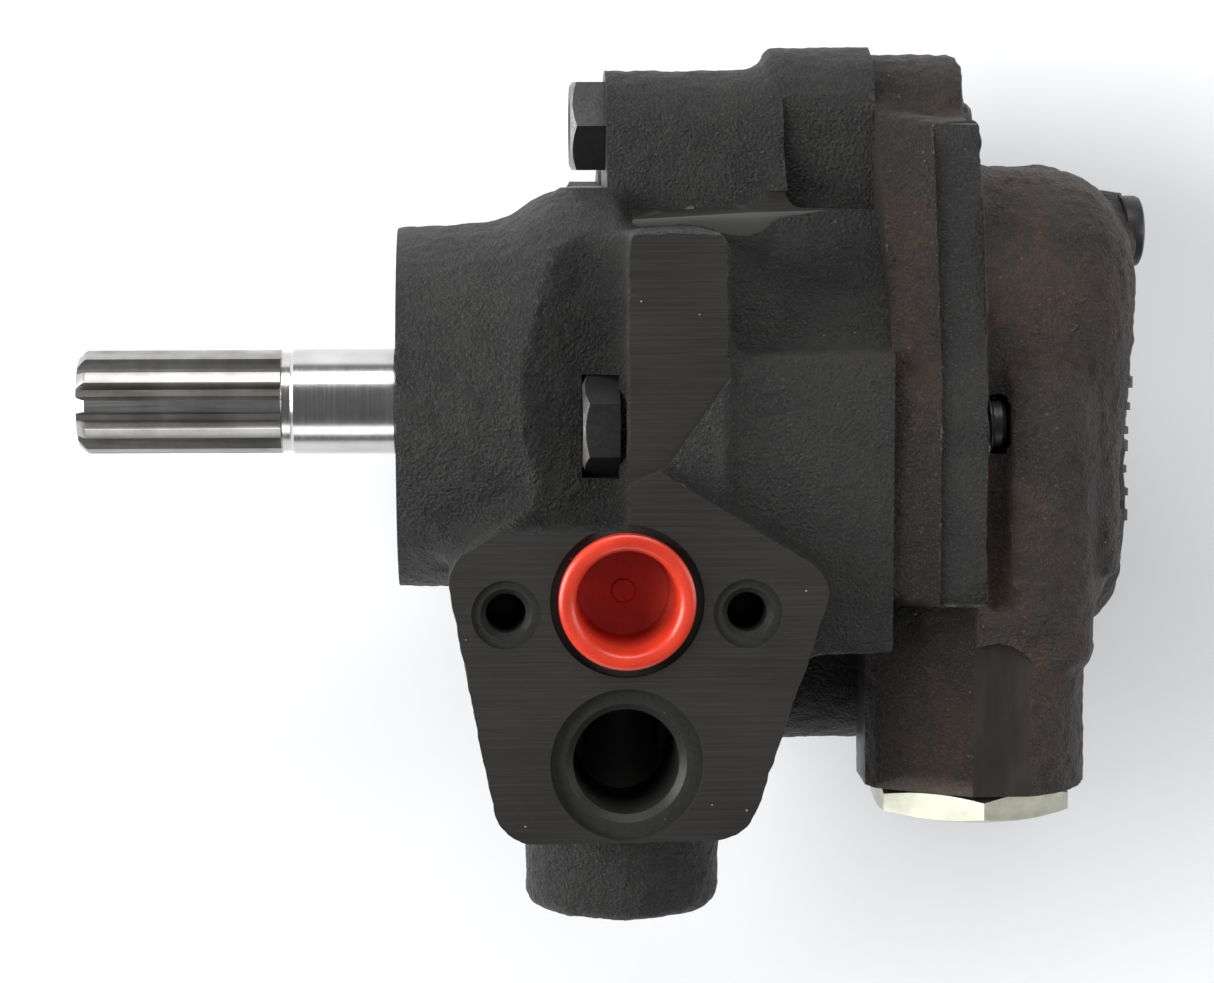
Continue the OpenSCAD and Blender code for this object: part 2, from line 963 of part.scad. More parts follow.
module ball_track(r) {
    translate([bearing_x + bearing_t / 2, 0, 0])
        rotate([0, 90, 0])
            rotate_extrude()
                translate([ball_pitch_r, 0]) circle(r, $fn = 48);
}

module balls(r) {
    for (k = [0:ball_count - 1])
        rotate([360 * k / ball_count, 0, 0])
            translate([bearing_x + bearing_t / 2, 0, ball_pitch_r])
                sphere(r, $fn = 48);
}

module bearing_outer_race() {
    color(bearing_steel)
        difference() {
            ring_x(bearing_x, bearing_back_x - 0.02, nose_bore_r, 16.9);
            ball_track(ball_r + 0.1);
        }
}

module bearing_inner_race() {
    color(bearing_steel)
        difference() {
            ring_x(bearing_x, bearing_back_x - 0.02, 11.6, bearing_seat_r);
            ball_track(ball_r + 0.1);
        }
}

module bearing_balls() {
    color(ground_steel) balls(ball_r);
}

module bearing_cage() {
    color(bronze)
        difference() {
            ring_x(bearing_x + 2, bearing_back_x - 2, 15.4, 13.1);
            balls(ball_r + 0.08);
        }
}

// A snap ring with a gap at its ends
module snap_ring(x0, x1, outer_r, inner_r, gap) {
    difference() {
        ring_x(x0, x1, outer_r, inner_r);
        translate([x0 - cut, -gap / 2, 0]) cube([x1 - x0 + 2 * cut, gap, outer_r + 1]);
    }
}

module housing_snap_ring() {
    color(black_oxide)
        snap_ring(snap_x + 0.05, snap_x + snap_t - 0.05, nose_bore_r + 1.1, 17.4, 9);
}

module shaft_snap_ring() {
    color(black_oxide)
        snap_ring(bearing_back_x + 0.15, bearing_back_x + 1.25, 11, bearing_seat_r - 0.45, 5);
}

// ---- flow and relief valve ----

module flow_spool() {
    middle_y = (spool_top_y + relief_bore_y) / 2;
    color(ground_steel)
        difference() {
            rod_y(spool_low_y, spool_top_y, spool_r, valve_x, valve_z);
            rod_y(spool_low_y - cut, relief_bore_y, relief_room_r, valve_x, valve_z);
            rod_y(relief_bore_y - cut, spool_top_y + cut, relief_hole_r, valve_x, valve_z);
            difference() {
                rod_y(middle_y - 9, middle_y - 5, spool_r + 1, valve_x, valve_z);
                rod_y(middle_y - 9.5, middle_y - 4.5, spool_r - 0.8, valve_x, valve_z);
            }
            rod_x(valve_x - 10, valve_x + 10, 1.3, middle_y - 7, valve_z);
        }
}

module flow_spring() {
    color(bearing_steel)
        translate([valve_x, spool_low_y - 0.05, valve_z])
            rotate([90, 0, 0])
                coil(6.4, spring_wire_r, 6, spool_low_y - plug_pocket_y - 0.1);
}

module relief_poppet() {
    color(ground_steel)
        translate([valve_x, 0, valve_z])
            rotate([-90, 0, 0])
                rotate_extrude()
                    polygon([
                        [0, -29.6],
                        [2.2, -29.6],
                        [2.2, -28.2],
                        [poppet_r, -28.2],
                        [poppet_r, -23.85],
                        [1.2, -21.25],
                        [0, -21.25]
                    ]);
}

module relief_spring() {
    color(bearing_steel)
        translate([valve_x, -28.25, valve_z])
            rotate([90, 0, 0])
                coil(3.2, 0.5, 5, -28.25 - spool_low_y - retainer_t - 0.05);
}

module relief_retainer() {
    color(bearing_steel)
        difference() {
            rod_y(spool_low_y, spool_low_y + retainer_t, relief_room_r, valve_x, valve_z);
            rod_y(spool_low_y - cut, spool_low_y + retainer_t + cut, 2, valve_x, valve_z);
        }
}

module valve_plug() {
    color(zinc)
        difference() {
            union() {
                translate([valve_x, valve_boss_y - plug_head_h, valve_z])
                    rotate([0, 0, 90])
                        hex_head(plug_af, plug_head_h, 0);
                rod_y(valve_boss_y - cut, plug_bore_y - 0.5, plug_thread_r, valve_x, valve_z);
            }
            rod_y(plug_pocket_y, plug_bore_y + cut, spool_r + 0.2, valve_x, valve_z);
        }
}

module valve_plug_seal() {
    color(nitrile)
        difference() {
            rod_y(valve_boss_y, valve_boss_y + 2.1, plug_thread_r + 1.8, valve_x, valve_z);
            rod_y(valve_boss_y - cut, valve_boss_y + 3, plug_thread_r, valve_x, valve_z);
        }
}

// ---- caps and plugs ----

module port_cap() {
    rim_r = 11.75;
    inner_r = 8.75;
    cup_r = port_r - 0.05;
    floor_z = pad_z - 15;
    color(cap_red)
        translate([port_x, port_1_y, 0])
            rotate_extrude()
                polygon([
                    [0, floor_z],
                    [cup_r - 0.8, floor_z],
                    [cup_r - 0.3, pad_z - port_face_t - 1],
                    [cup_r, pad_z - port_face_t + 0.02],
                    [rim_r - 0.6, pad_z - port_face_t + 0.02],
                    [rim_r, pad_z - 0.4],
                    [rim_r, pad_z + 1.4],
                    [rim_r - 0.6, pad_z + 2],
                    [inner_r + 0.8, pad_z + 2],
                    [inner_r, pad_z + 1.2],
                    [inner_r - 1, floor_z + 2],
                    [inner_r - 1.6, floor_z + 1.4],
                    [0, floor_z + 1.4]
                ]);
}

module rear_plug() {
    tip_x = rear_plug_seat_x + rear_plug_t;
    socket_d = 6;
    color(black_oxide)
        difference() {
            translate([0, rear_plug_y, rear_plug_z])
                turned_x([
                    [0, rear_plug_seat_x - 8.5],
                    [4.2, rear_plug_seat_x - 8.5],
                    [4.2, rear_plug_seat_x],
                    [rear_plug_r, rear_plug_seat_x],
                    [rear_plug_r, tip_x - 1],
                    [rear_plug_r - 1, tip_x],
                    [0, tip_x]
                ]);
            translate([tip_x - 3, rear_plug_y, rear_plug_z])
                rotate([0, 90, 0])
                    cylinder(h = 4, d = socket_d, $fn = 6);
        }
}

front_body();
rear_cover();
cover_bolts();
dowel_pins();
cover_seal();
drive_shaft();
drive_gear();
gear_key();
idler_shaft();
idler_gear();
front_block_drive();
front_block_idler();
front_bushing_drive();
front_bushing_idler();
rear_bushing_drive();
rear_bushing_idler();
pressure_plate();
pressure_plate_seal();
seal_case();
seal_lip();
garter_spring();
bearing_outer_race();
bearing_inner_race();
bearing_balls();
bearing_cage();
housing_snap_ring();
shaft_snap_ring();
flow_spool();
flow_spring();
relief_poppet();
relief_spring();
relief_retainer();
valve_plug();
valve_plug_seal();
port_cap();
rear_plug();
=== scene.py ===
import json
import math

import bmesh
import bpy
from mathutils import Matrix, Vector, noise


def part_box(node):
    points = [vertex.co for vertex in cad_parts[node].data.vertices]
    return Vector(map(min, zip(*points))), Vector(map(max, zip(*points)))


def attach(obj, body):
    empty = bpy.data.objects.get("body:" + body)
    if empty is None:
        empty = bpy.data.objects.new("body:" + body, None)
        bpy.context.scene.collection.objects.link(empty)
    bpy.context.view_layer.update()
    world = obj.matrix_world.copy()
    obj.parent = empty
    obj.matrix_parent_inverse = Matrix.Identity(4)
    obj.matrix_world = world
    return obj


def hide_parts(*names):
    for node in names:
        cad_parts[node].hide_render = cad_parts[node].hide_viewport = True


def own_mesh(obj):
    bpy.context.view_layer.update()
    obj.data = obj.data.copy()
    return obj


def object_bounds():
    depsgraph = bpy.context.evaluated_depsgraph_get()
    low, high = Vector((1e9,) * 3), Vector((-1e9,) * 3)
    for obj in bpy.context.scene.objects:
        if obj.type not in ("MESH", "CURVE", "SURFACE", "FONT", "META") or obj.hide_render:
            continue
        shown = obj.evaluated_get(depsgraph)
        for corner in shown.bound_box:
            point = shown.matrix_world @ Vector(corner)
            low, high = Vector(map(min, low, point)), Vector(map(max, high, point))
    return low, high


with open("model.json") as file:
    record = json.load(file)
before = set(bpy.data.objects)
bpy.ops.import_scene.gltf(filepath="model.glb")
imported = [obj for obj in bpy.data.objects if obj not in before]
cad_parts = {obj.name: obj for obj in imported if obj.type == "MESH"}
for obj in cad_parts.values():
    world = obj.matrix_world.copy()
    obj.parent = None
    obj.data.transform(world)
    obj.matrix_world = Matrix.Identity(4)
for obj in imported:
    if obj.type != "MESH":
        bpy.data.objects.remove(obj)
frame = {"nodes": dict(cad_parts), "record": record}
cadLow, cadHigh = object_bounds()
mm = 0.001
xAxis, yAxis, zAxis = Vector((1, 0, 0)), Vector((0, 1, 0)), Vector((0, 0, 1))
record = frame["record"]
slotOf = {part["node"]: part["material_slot"] for part in record["subparts"]}
mountOf = {mount["name"]: mount for mount in record["mounts"]}


# shapes are drawn in millimetres and scaled down once a piece is finished
def turnTo(direction):
    return Vector(direction).to_track_quat("Z", "Y").to_matrix().to_4x4()


def placed(start, direction):
    return Matrix.Translation(Vector(start)) @ turnTo(direction)


def rod(bm, start, end, radius, endRadius=None, segments=64):
    start, end = Vector(start), Vector(end)
    along = end - start
    bmesh.ops.create_cone(
        bm, cap_ends=True, segments=segments, radius1=radius,
        radius2=radius if endRadius is None else endRadius, depth=along.length,
        matrix=placed((start + end) / 2, along.normalized()))


def block(bm, low, high):
    low, high = Vector(low), Vector(high)
    size = Matrix.Diagonal((*(high - low), 1))
    bmesh.ops.create_cube(bm, size=1, matrix=Matrix.Translation((low + high) / 2) @ size)


def addMesh(bm, other):
    mesh = bpy.data.meshes.new("part")
    other.to_mesh(mesh)
    other.free()
    bm.from_mesh(mesh)
    bpy.data.meshes.remove(mesh)


def wrapped(bm, discs, segments=48):
    # a tight skin round some discs, each (centre, radius, direction)
    skin = bmesh.new()
    for centre, radius, direction in discs:
        bmesh.ops.create_circle(
            skin, segments=segments, radius=radius, matrix=placed(centre, direction))
    made = bmesh.ops.convex_hull(skin, input=skin.verts)
    spare = [v for v in made["geom_interior"] + made["geom_unused"] if isinstance(v, bmesh.types.BMVert)]
    bmesh.ops.delete(skin, geom=list(set(spare)), context="VERTS")
    addMesh(bm, skin)


def prism(bm, outline, direction, low, high):
    # outline points are (y, z) for "x", (x, z) for "y" and (x, y) for "z"
    place = {
        "x": lambda a, b: Vector((low, a, b)),
        "y": lambda a, b: Vector((a, low, b)),
        "z": lambda a, b: Vector((a, b, low)),
    }[direction]
    way = {"x": xAxis, "y": yAxis, "z": zAxis}[direction]
    part = bmesh.new()
    corners = [part.verts.new(place(a, b)) for a, b in outline]
    face = part.faces.new(corners)
    pushed = bmesh.ops.extrude_face_region(part, geom=[face])["geom"]
    bmesh.ops.translate(
        part, vec=way * (high - low), verts=[v for v in pushed if isinstance(v, bmesh.types.BMVert)])
    bmesh.ops.recalc_face_normals(part, faces=part.faces)
    addMesh(bm, part)


def hexagon(bm, flats, height, place):
    # flats is the distance across the flats
    corner = flats / math.sqrt(3)
    bmesh.ops.create_cone(
        bm, cap_ends=True, segments=6, radius1=corner, radius2=corner, depth=height, matrix=place)


def lathe(bm, profile, start, direction, segments=96):
    # profile points are (radius, distance along direction)
    part = bmesh.new()
    corners = [part.verts.new((radius, 0, along)) for radius, along in profile]
    for one, two in zip(corners, corners[1:] + corners[:1]):
        part.edges.new((one, two))
    bmesh.ops.spin(
        part, geom=part.verts[:] + part.edges[:], cent=(0, 0, 0), axis=(0, 0, 1),
        angle=math.tau, steps=segments, use_merge=True)
    bmesh.ops.remove_doubles(part, verts=part.verts, dist=1e-4)
    bmesh.ops.recalc_face_normals(part, faces=part.faces)
    bmesh.ops.transform(part, matrix=placed(start, direction), verts=part.verts)
    addMesh(bm, part)


def helix(bm, profile, start, direction, pitch, turns, steps=32):
    # profile points are (radius, along); it is wound round the axis and its ends are closed
    part = bmesh.new()
    corners = [part.verts.new((radius, 0, along)) for radius, along in profile]
    face = part.faces.new(corners)
    made = bmesh.ops.spin(
        part, geom=[face], cent=(0, 0, 0), axis=(0, 0, 1), angle=math.tau * turns,
        dvec=(0, 0, pitch / steps), steps=int(steps * turns), use_merge=False)
    part.faces.ensure_lookup_table()
    last = [item for item in made["geom_last"] if isinstance(item, bmesh.types.BMFace)]
    if not last:
        rim = [item for item in made["geom_last"] if isinstance(item, bmesh.types.BMEdge)]
        bmesh.ops.contextual_create(part, geom=rim)
    bmesh.ops.recalc_face_normals(part, faces=part.faces)
    bmesh.ops.transform(part, matrix=placed(start, direction), verts=part.verts)
    addMesh(bm, part)


def ring(radius, wire, count=10):
    turns = [math.tau * k / count for k in range(count)]
    return [(radius + wire * math.cos(turn), wire * math.sin(turn)) for turn in turns]


def meshOf(bm, name):
    mesh = bpy.data.meshes.new(name)
    bmesh.ops.scale(bm, vec=(mm, mm, mm), verts=bm.verts)
    bm.to_mesh(mesh)
    bm.free()
    return mesh


def newThing(bm, name, materials=()):
    thing = bpy.data.objects.new(name, meshOf(bm, name))
    bpy.context.scene.collection.objects.link(thing)
    for material in materials:
        thing.data.materials.append(material)
    return thing


def piece(bm, name, body, materials, nodes=(), sharp=35):
    thing = newThing(bm, name)
    finish(thing, body, materials, nodes, sharp)
    return thing


def finish(thing, body, materials, nodes=(), sharp=35):
    for material in materials:
        thing.data.materials.append(material)
    thing.data.polygons.foreach_set("use_smooth", [True] * len(thing.data.polygons))
    thing.data.set_sharp_from_angle(angle=math.radians(sharp))
    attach(thing, body)
    if nodes:
        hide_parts(*nodes)
    print("piece", thing.name, len(thing.data.polygons), "faces")


def applyModifiers(thing):
    evaluated = thing.evaluated_get(bpy.context.evaluated_depsgraph_get())
    mesh = bpy.data.meshes.new_from_object(evaluated)
    old = thing.data
    thing.modifiers.clear()
    thing.data = mesh
    bpy.data.meshes.remove(old)


def remesh(thing, size):
    change = thing.modifiers.new("remesh", "REMESH")
    change.mode = "VOXEL"
    change.voxel_size = size * mm
    applyModifiers(thing)


def relax(thing, rounds):
    bm = bmesh.new()
    bm.from_mesh(thing.data)
    for _ in range(rounds):
        bmesh.ops.smooth_vert(
            bm, verts=bm.verts, factor=0.5, use_axis_x=True, use_axis_y=True, use_axis_z=True)
    bm.to_mesh(thing.data)
    bm.free()


def swell(thing, amount):
    mesh = thing.data
    moved = [v.co + v.normal * amount * mm for v in mesh.vertices]
    for vertex, place in zip(mesh.vertices, moved):
        vertex.co = place
    mesh.update()


def roughen(thing, waves):
    # each wave is (waves per mm, height in mm)
    mesh = thing.data
    moved = []
    for vertex in mesh.vertices:
        place = vertex.co / mm
        height = sum(noise.noise(place * rate + Vector((7, 3, 5))) * tall for rate, tall in waves)
        moved.append(vertex.co + vertex.normal * height * mm)
    for vertex, place in zip(mesh.vertices, moved):
        vertex.co = place
    mesh.update()


def cast(bm, name, look, hollows=()):
    # one fluid casting out of overlapping solids: hollow corners are filled, edges rounded
    size = look["grain"] * 1
    thing = newThing(bm, name)
    remesh(thing, size)
    relax(thing, 1)
    swell(thing, look["fillet"])
    remesh(thing, size)
    relax(thing, 2)
    swell(thing, -look["fillet"])
    remesh(thing, size)
    for hollow in hollows:
        cut(thing, hollow)
        thing.data.materials.clear()
    remesh(thing, size)
    relax(thing, look["soften"])
    roughen(thing, look["waves"])
    print("cast", name, len(thing.data.polygons), "faces")
    return thing


def cut(thing, cutter, material=None, operation="DIFFERENCE"):
    cutterThing = newThing(cutter, "cutter", [material] if material else [])
    change = thing.modifiers.new("cut", "BOOLEAN")
    change.operation = operation
    change.solver = "MANIFOLD"
    change.object = cutterThing
    applyModifiers(thing)
    bpy.data.objects.remove(cutterThing)


def carve(thing, cutters, materials):
    # cuts with crisp edges; each cutter's faces keep the material it names
    for material in materials:
        thing.data.materials.append(material)
    for label, cutter, material in cutters:
        before = len(thing.data.polygons)
        cut(thing, cutter, material)
        print("carve", label, before, "to", len(thing.data.polygons))


def tool(label, material, *steps):
    # one cutter; each step is a shape function and its values
    bm = bmesh.new()
    for make, *values in steps:
        make(bm, *values)
    return label, bm, material


class Value:
    def __init__(self, graph, socket):
        self.graph, self.socket = graph, socket

    def calc(self, operation, one, two=0.0):
        return self.graph.add("Math", {"operation": operation}, {0: one, 1: two})

    def __add__(self, other):
        return self.calc("ADD", self, other)

    def __sub__(self, other):
        return self.calc("SUBTRACT", self, other)

    def __rsub__(self, other):
        return self.calc("SUBTRACT", other, self)

    def __mul__(self, other):
        return self.calc("MULTIPLY", self, other)

    def __gt__(self, other):
        return self.calc("GREATER_THAN", self, other)

    __radd__ = __add__
    __rmul__ = __mul__


class Graph:
    def __init__(self, name):
        self.material = bpy.data.materials.new(name)
        self.material.use_nodes = True
        self.tree = self.material.node_tree
        self.tree.nodes.clear()
        self.shader = self.tree.nodes.new("ShaderNodeBsdfPrincipled")
        output = self.tree.nodes.new("ShaderNodeOutputMaterial")
        self.tree.links.new(self.shader.outputs[0], output.inputs[0])
        metres = self.add("TexCoord", {}, {}, "Object")
        self.place = self.add("VectorMath", {"operation": "SCALE"}, {0: metres, "Scale": 1 / mm})

    def add(self, kind, settings, values, out=0):
        node = self.tree.nodes.new("ShaderNode" + kind)
        for key, value in settings.items():
            setattr(node, key, value)
        for key, value in values.items():
            self.feed(node.inputs[key], value)
        return Value(self, node.outputs[out])

    def feed(self, socket, value):
        if isinstance(value, Value):
            self.tree.links.new(value.socket, socket)
        else:
            socket.default_value = value

    def stretched(self, scale):
        return self.add("Mapping", {}, {"Vector": self.place, "Scale": scale})

    def noise(self, scale, detail=3.0, roughness=0.5, vector=None):
        return self.add("TexNoise", {}, {
            "Vector": vector or self.place, "Scale": scale, "Detail": detail, "Roughness": roughness})

    def cells(self, scale, out="Distance"):
        return self.add("TexVoronoi", {}, {"Vector": self.place, "Scale": scale}, out)

    def ramp(self, value, low, high):
        return self.add(
            "MapRange", {"clamp": True}, {"Value": value, "From Min": low, "From Max": high})

    def mix(self, share, one, two):
        made = self.add("Mix", {"data_type": "RGBA"}, {0: share}, 2)
        node = made.socket.node
        for index, value in ((6, one), (7, two)):
            self.feed(node.inputs[index], value if isinstance(value, Value) else (*value, 1))
        return made

    def bump(self, height, strength, distance):
        return self.add("Bump", {}, {"Height": height, "Strength": strength, "Distance": distance * mm})

    def set(self, **values):
        for key, value in values.items():
            self.feed(self.shader.inputs[key.replace("_", " ")], value)
        return self.material


def specks(graph, rate, size, rare):
    # small scattered dots: 1 inside a dot
    distance = graph.cells(rate)
    colour = graph.cells(rate, "Color")
    chosen = graph.add("SeparateColor", {}, {"Color": colour}) > rare
    return chosen * (1 - graph.ramp(distance, size * 0.6, size))


def castFinish(name, look):
    # sand-cast skin: stained base, light grain tips, convex edges lightened partly as paint wear and partly
    # as a painted highlight, loose dust
    graph = Graph(name)
    broad = graph.noise(0.06, 3)
    middle = graph.noise(0.45, 4, 0.6)
    fine = graph.noise(1.55, 4, 0.62)
    colour = graph.mix(graph.ramp(broad, 0.35, 0.65), look["dark"], look["light"])
    stained = graph.ramp(middle * 0.5 + broad * 0.5, 0.48, 0.62)
    colour = graph.mix(stained * look["stain"], colour, look["tint"])
    tips = graph.ramp(graph.noise(2.7, 2, 0.5), 0.56, 0.68)
    colour = graph.mix(tips * look["tips"], colour, look["tip"])
    # convex edges (pointiness) are lightened: partly paint wear, partly a painted highlight along the edges
    wornAndHighlight = graph.ramp(graph.add("NewGeometry", {}, {}, "Pointiness") + (fine - 0.5) * 0.05, 0.535, 0.6)
    colour = graph.mix(wornAndHighlight * look["wearAndHighlightShare"], colour, look["wornAndHighlight"])
    dust = specks(graph, 0.55, 0.12, look["rare"])
    colour = graph.mix(dust * 0.6, colour, look["dust"])
    height = fine + middle * 0.5
    return graph.set(
        Base_Color=colour, Roughness=graph.ramp(fine, 0.25, 0.75) * 0.25 + look["roughness"],
        Metallic=look["metallic"], Specular_IOR_Level=0.4,
        Normal=graph.bump(height, look["bump"], look["depth"]))


def milledFinish(name, look, along):
    # fine cutter marks run along one axis; along gives the noise stretch
    graph = Graph(name)
    marks = graph.noise(1.0, 3, 0.6, graph.stretched(along))
    broad = graph.noise(0.05, 3)
    scuff = graph.noise(0.7, 5, 0.65)
    colour = graph.mix(graph.ramp(broad, 0.3, 0.7), look["dark"], look["light"])
    colour = graph.mix(graph.ramp(marks, 0.45, 0.75) * 0.35, colour, look["tint"])
    colour = graph.mix(graph.ramp(scuff, 0.62, 0.78) * 0.35, colour, look["wornAndHighlight"])
    dust = specks(graph, 0.5, 0.1, 0.93)
    colour = graph.mix(dust * 0.8, colour, look["dust"])
    return graph.set(
        Base_Color=colour, Roughness=graph.ramp(marks, 0.2, 0.8) * 0.16 + look["roughness"],
        Metallic=look["metallic"],
        Normal=graph.bump(marks * 0.7 + scuff * 0.3, look["bump"], 0.05))


def steelFinish(name, look):
    # turned or ground metal with rings round the X axis
    graph = Graph(name)
    rings = graph.noise(1.0, 3, 0.6, graph.stretched(look["stretch"]))
    stain = graph.noise(0.16, 4, 0.6)
    colour = graph.mix(graph.ramp(stain, 0.35, 0.7), look["light"], look["dark"])
    colour = graph.mix(graph.ramp(rings, 0.55, 0.8) * 0.3, colour, look["tint"])
    return graph.set(
        Base_Color=colour, Metallic=1.0,
        Roughness=graph.ramp(rings, 0.2, 0.8) * 0.12 + look["roughness"],
        Normal=graph.bump(rings, look["bump"], 0.02))


def mouldedFinish(name, look):
    graph = Graph(name)
    broad = graph.noise(0.12, 2)
    fine = graph.noise(2.2, 3)
    colour = graph.mix(graph.ramp(broad, 0.3, 0.7), look["dark"], look["light"])
    return graph.set(
        Base_Color=colour, Roughness=graph.ramp(fine, 0.3, 0.7) * 0.1 + look["roughness"],
        Subsurface_Weight=look["depth"], Subsurface_Radius=(0.004, 0.001, 0.0005),
        Specular_IOR_Level=0.5, Normal=graph.bump(fine, 0.12, 0.05))


# the light edge colour and its share below are partly paint wear, partly a painted edge highlight
castBlack = castFinish("castBlack", dict(
    dark=(0.013, 0.0129, 0.0124), light=(0.022, 0.0216, 0.0205), stain=0.4, tint=(0.034, 0.031, 0.026),
    tips=0.6, tip=(0.075, 0.074, 0.07),
    wornAndHighlight=(0.24, 0.23, 0.21), wearAndHighlightShare=0.6, dust=(0.3, 0.2, 0.1), rare=0.95,
    roughness=0.4, metallic=0.0, bump=1.0, depth=2.3))
castBrown = castFinish("castBrown", dict(
    dark=(0.016, 0.0128, 0.0105), light=(0.028, 0.021, 0.0175), stain=0.75, tint=(0.062, 0.03, 0.02),
    tips=0.65, tip=(0.095, 0.078, 0.064),
    wornAndHighlight=(0.3, 0.25, 0.2), wearAndHighlightShare=0.8, dust=(0.4, 0.21, 0.09), rare=0.84,
    roughness=0.38, metallic=0.0, bump=1.0, depth=2.5))
milledLook = dict(
    dark=(0.0125, 0.0118, 0.0104), light=(0.0195, 0.0184, 0.016), tint=(0.03, 0.028, 0.0235),
    wornAndHighlight=(0.05, 0.045, 0.036), dust=(0.35, 0.27, 0.17), roughness=0.36, metallic=0.0, bump=0.35)
milledBlack = milledFinish("milledBlack", milledLook, (0.04, 3.0, 0.3))
brownLook = dict(
    milledLook, dark=(0.015, 0.012, 0.01), light=(0.024, 0.0195, 0.016), tint=(0.045, 0.032, 0.024))
milledBrown = milledFinish("milledBrown", brownLook, (0.3, 0.04, 3.0))
boredLook = dict(milledLook, dark=(0.012, 0.012, 0.011), light=(0.02, 0.02, 0.018))
boredBlack = milledFinish("boredBlack", boredLook, (2.0, 2.0, 2.0))
groundSteel = steelFinish("groundSteel", dict(
    light=(0.62, 0.61, 0.6), dark=(0.5, 0.49, 0.48), tint=(0.75, 0.74, 0.72), roughness=0.16,
    bump=0.25, stretch=(5.0, 0.05, 0.05)))
splineSteel = steelFinish("splineSteel", dict(
    light=(0.36, 0.36, 0.355), dark=(0.26, 0.25, 0.245), tint=(0.5, 0.48, 0.46), roughness=0.28,
    bump=0.3, stretch=(0.08, 2.0, 2.0)))
grooveSteel = steelFinish("grooveSteel", dict(
    light=(0.24, 0.235, 0.225), dark=(0.16, 0.145, 0.13), tint=(0.34, 0.32, 0.3), roughness=0.34,
    bump=0.4, stretch=(0.08, 2.0, 2.0)))
gearSteel = steelFinish("gearSteel", dict(
    light=(0.5, 0.51, 0.53), dark=(0.38, 0.38, 0.4), tint=(0.6, 0.6, 0.62), roughness=0.24,
    bump=0.25, stretch=(0.1, 2.0, 2.0)))
turnedAluminium = steelFinish("turnedAluminium", dict(
    light=(0.78, 0.79, 0.8), dark=(0.66, 0.67, 0.68), tint=(0.85, 0.86, 0.87), roughness=0.3,
    bump=0.3, stretch=(3.0, 0.1, 0.1)))
bearingBronze = steelFinish("bearingBronze", dict(
    light=(0.62, 0.42, 0.2), dark=(0.48, 0.31, 0.14), tint=(0.72, 0.52, 0.28), roughness=0.28,
    bump=0.3, stretch=(3.0, 0.1, 0.1)))
zincPlate = steelFinish("zincPlate", dict(
    light=(0.56, 0.56, 0.46), dark=(0.38, 0.39, 0.32), tint=(0.76, 0.76, 0.68), roughness=0.3,
    bump=0.3, stretch=(0.6, 2.0, 0.6)))
blackOxide = castFinish("blackOxide", dict(
    dark=(0.014, 0.014, 0.015), light=(0.024, 0.024, 0.026), stain=0.3, tint=(0.036, 0.034, 0.032),
    tips=0.2, tip=(0.06, 0.06, 0.06),
    wornAndHighlight=(0.35, 0.34, 0.32), wearAndHighlightShare=0.0, dust=(0.2, 0.13, 0.07), rare=0.93,
    roughness=0.3, metallic=0.3, bump=0.3, depth=0.06))
wornOxide = castFinish("wornOxide", dict(
    dark=(0.12, 0.118, 0.115), light=(0.3, 0.29, 0.28), stain=0.5, tint=(0.5, 0.48, 0.45),
    tips=0.5, tip=(0.55, 0.54, 0.5),
    wornAndHighlight=(0.5, 0.49, 0.46), wearAndHighlightShare=0.0, dust=(0.3, 0.2, 0.1), rare=0.93,
    roughness=0.32, metallic=0.8, bump=0.4, depth=0.06))
capPlastic = mouldedFinish("capPlastic", dict(
    dark=(0.48, 0.028, 0.012), light=(0.6, 0.045, 0.02), roughness=0.26, depth=0.06))
sealRubber = mouldedFinish("sealRubber", dict(
    dark=(0.016, 0.016, 0.016), light=(0.03, 0.03, 0.03), roughness=0.5, depth=0.0))

finishOf = {
    "cast_black": castBlack, "cast_brown": castBrown, "black_oxide": blackOxide,
    "shaft_steel": groundSteel, "ground_steel": groundSteel, "gear_steel": gearSteel,
    "aluminium": turnedAluminium, "bronze": bearingBronze, "nitrile": sealRubber,
    "zinc": zincPlate, "cap_red": capPlastic}
for name, thing in frame["nodes"].items():
    thing.data.materials.clear()
    thing.data.materials.append(finishOf[slotOf[name]])
print("materials ready")


# places taken from the frame, in millimetres

def lowest(node):
    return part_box(node)[0] / mm


def highest(node):
    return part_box(node)[1] / mm


footZ = lowest("front_body").z
padZ = highest("front_body").z
jointX = highest("front_body").x
flangeX = highest("cover_seal").x + 14.6  # back of the cover's flange, 14.6 thick behind its seal
boltClear, boltTight = 5.3, 5.05  # hole radii in the body and in the cover
chamberRadius = 18.05
bushingSeat = 9.92
dowelY, dowelZ, dowelBore = 40, -30, 3.02
idlerZ = (lowest("idler_shaft").z + highest("idler_shaft").z) / 2
portAt = (highest("port_cap") + lowest("port_cap")) / 2
portTwo = Vector(mountOf["port_2"]["pos_m"]) / mm
padHoles = Vector(mountOf["pad_bolts"]["pos_m"]) / mm
hubAt = Vector(mountOf["hub_port"]["pos_m"]) / mm
valveAt = (lowest("valve_plug_seal") + highest("valve_plug_seal")) / 2
bossY = lowest("valve_plug_seal").y
earY, earZ = 49.7, -10  # bolts in the two side ears
lugY, lugZ, lugRadius = 30, -44.5, 12.8  # bolts in the two foot lugs
nearY, nearZ, nearSeatX = -2.2, 26.5, 38.7  # bolt on the near side
boltSeatX = 37.7
# cover bolts: (y, z), x of the seat, turn of the head
bolts = [
    ((earY, earZ), boltSeatX, 0), ((nearY, nearZ), nearSeatX, -28), ((-earY, earZ), boltSeatX, 8),
    ((lugY, lugZ), boltSeatX, 21), ((-lugY, lugZ), boltSeatX, 3)]


def boltRods(x0, x1, radius):
    return [(rod, (x0, y, z), (x1, y, z), radius) for (y, z), _, _ in bolts]


def dowelRods(x0, x1):
    return [(rod, (x0, y, dowelZ), (x1, y, dowelZ), dowelBore) for y in (dowelY, -dowelY)]


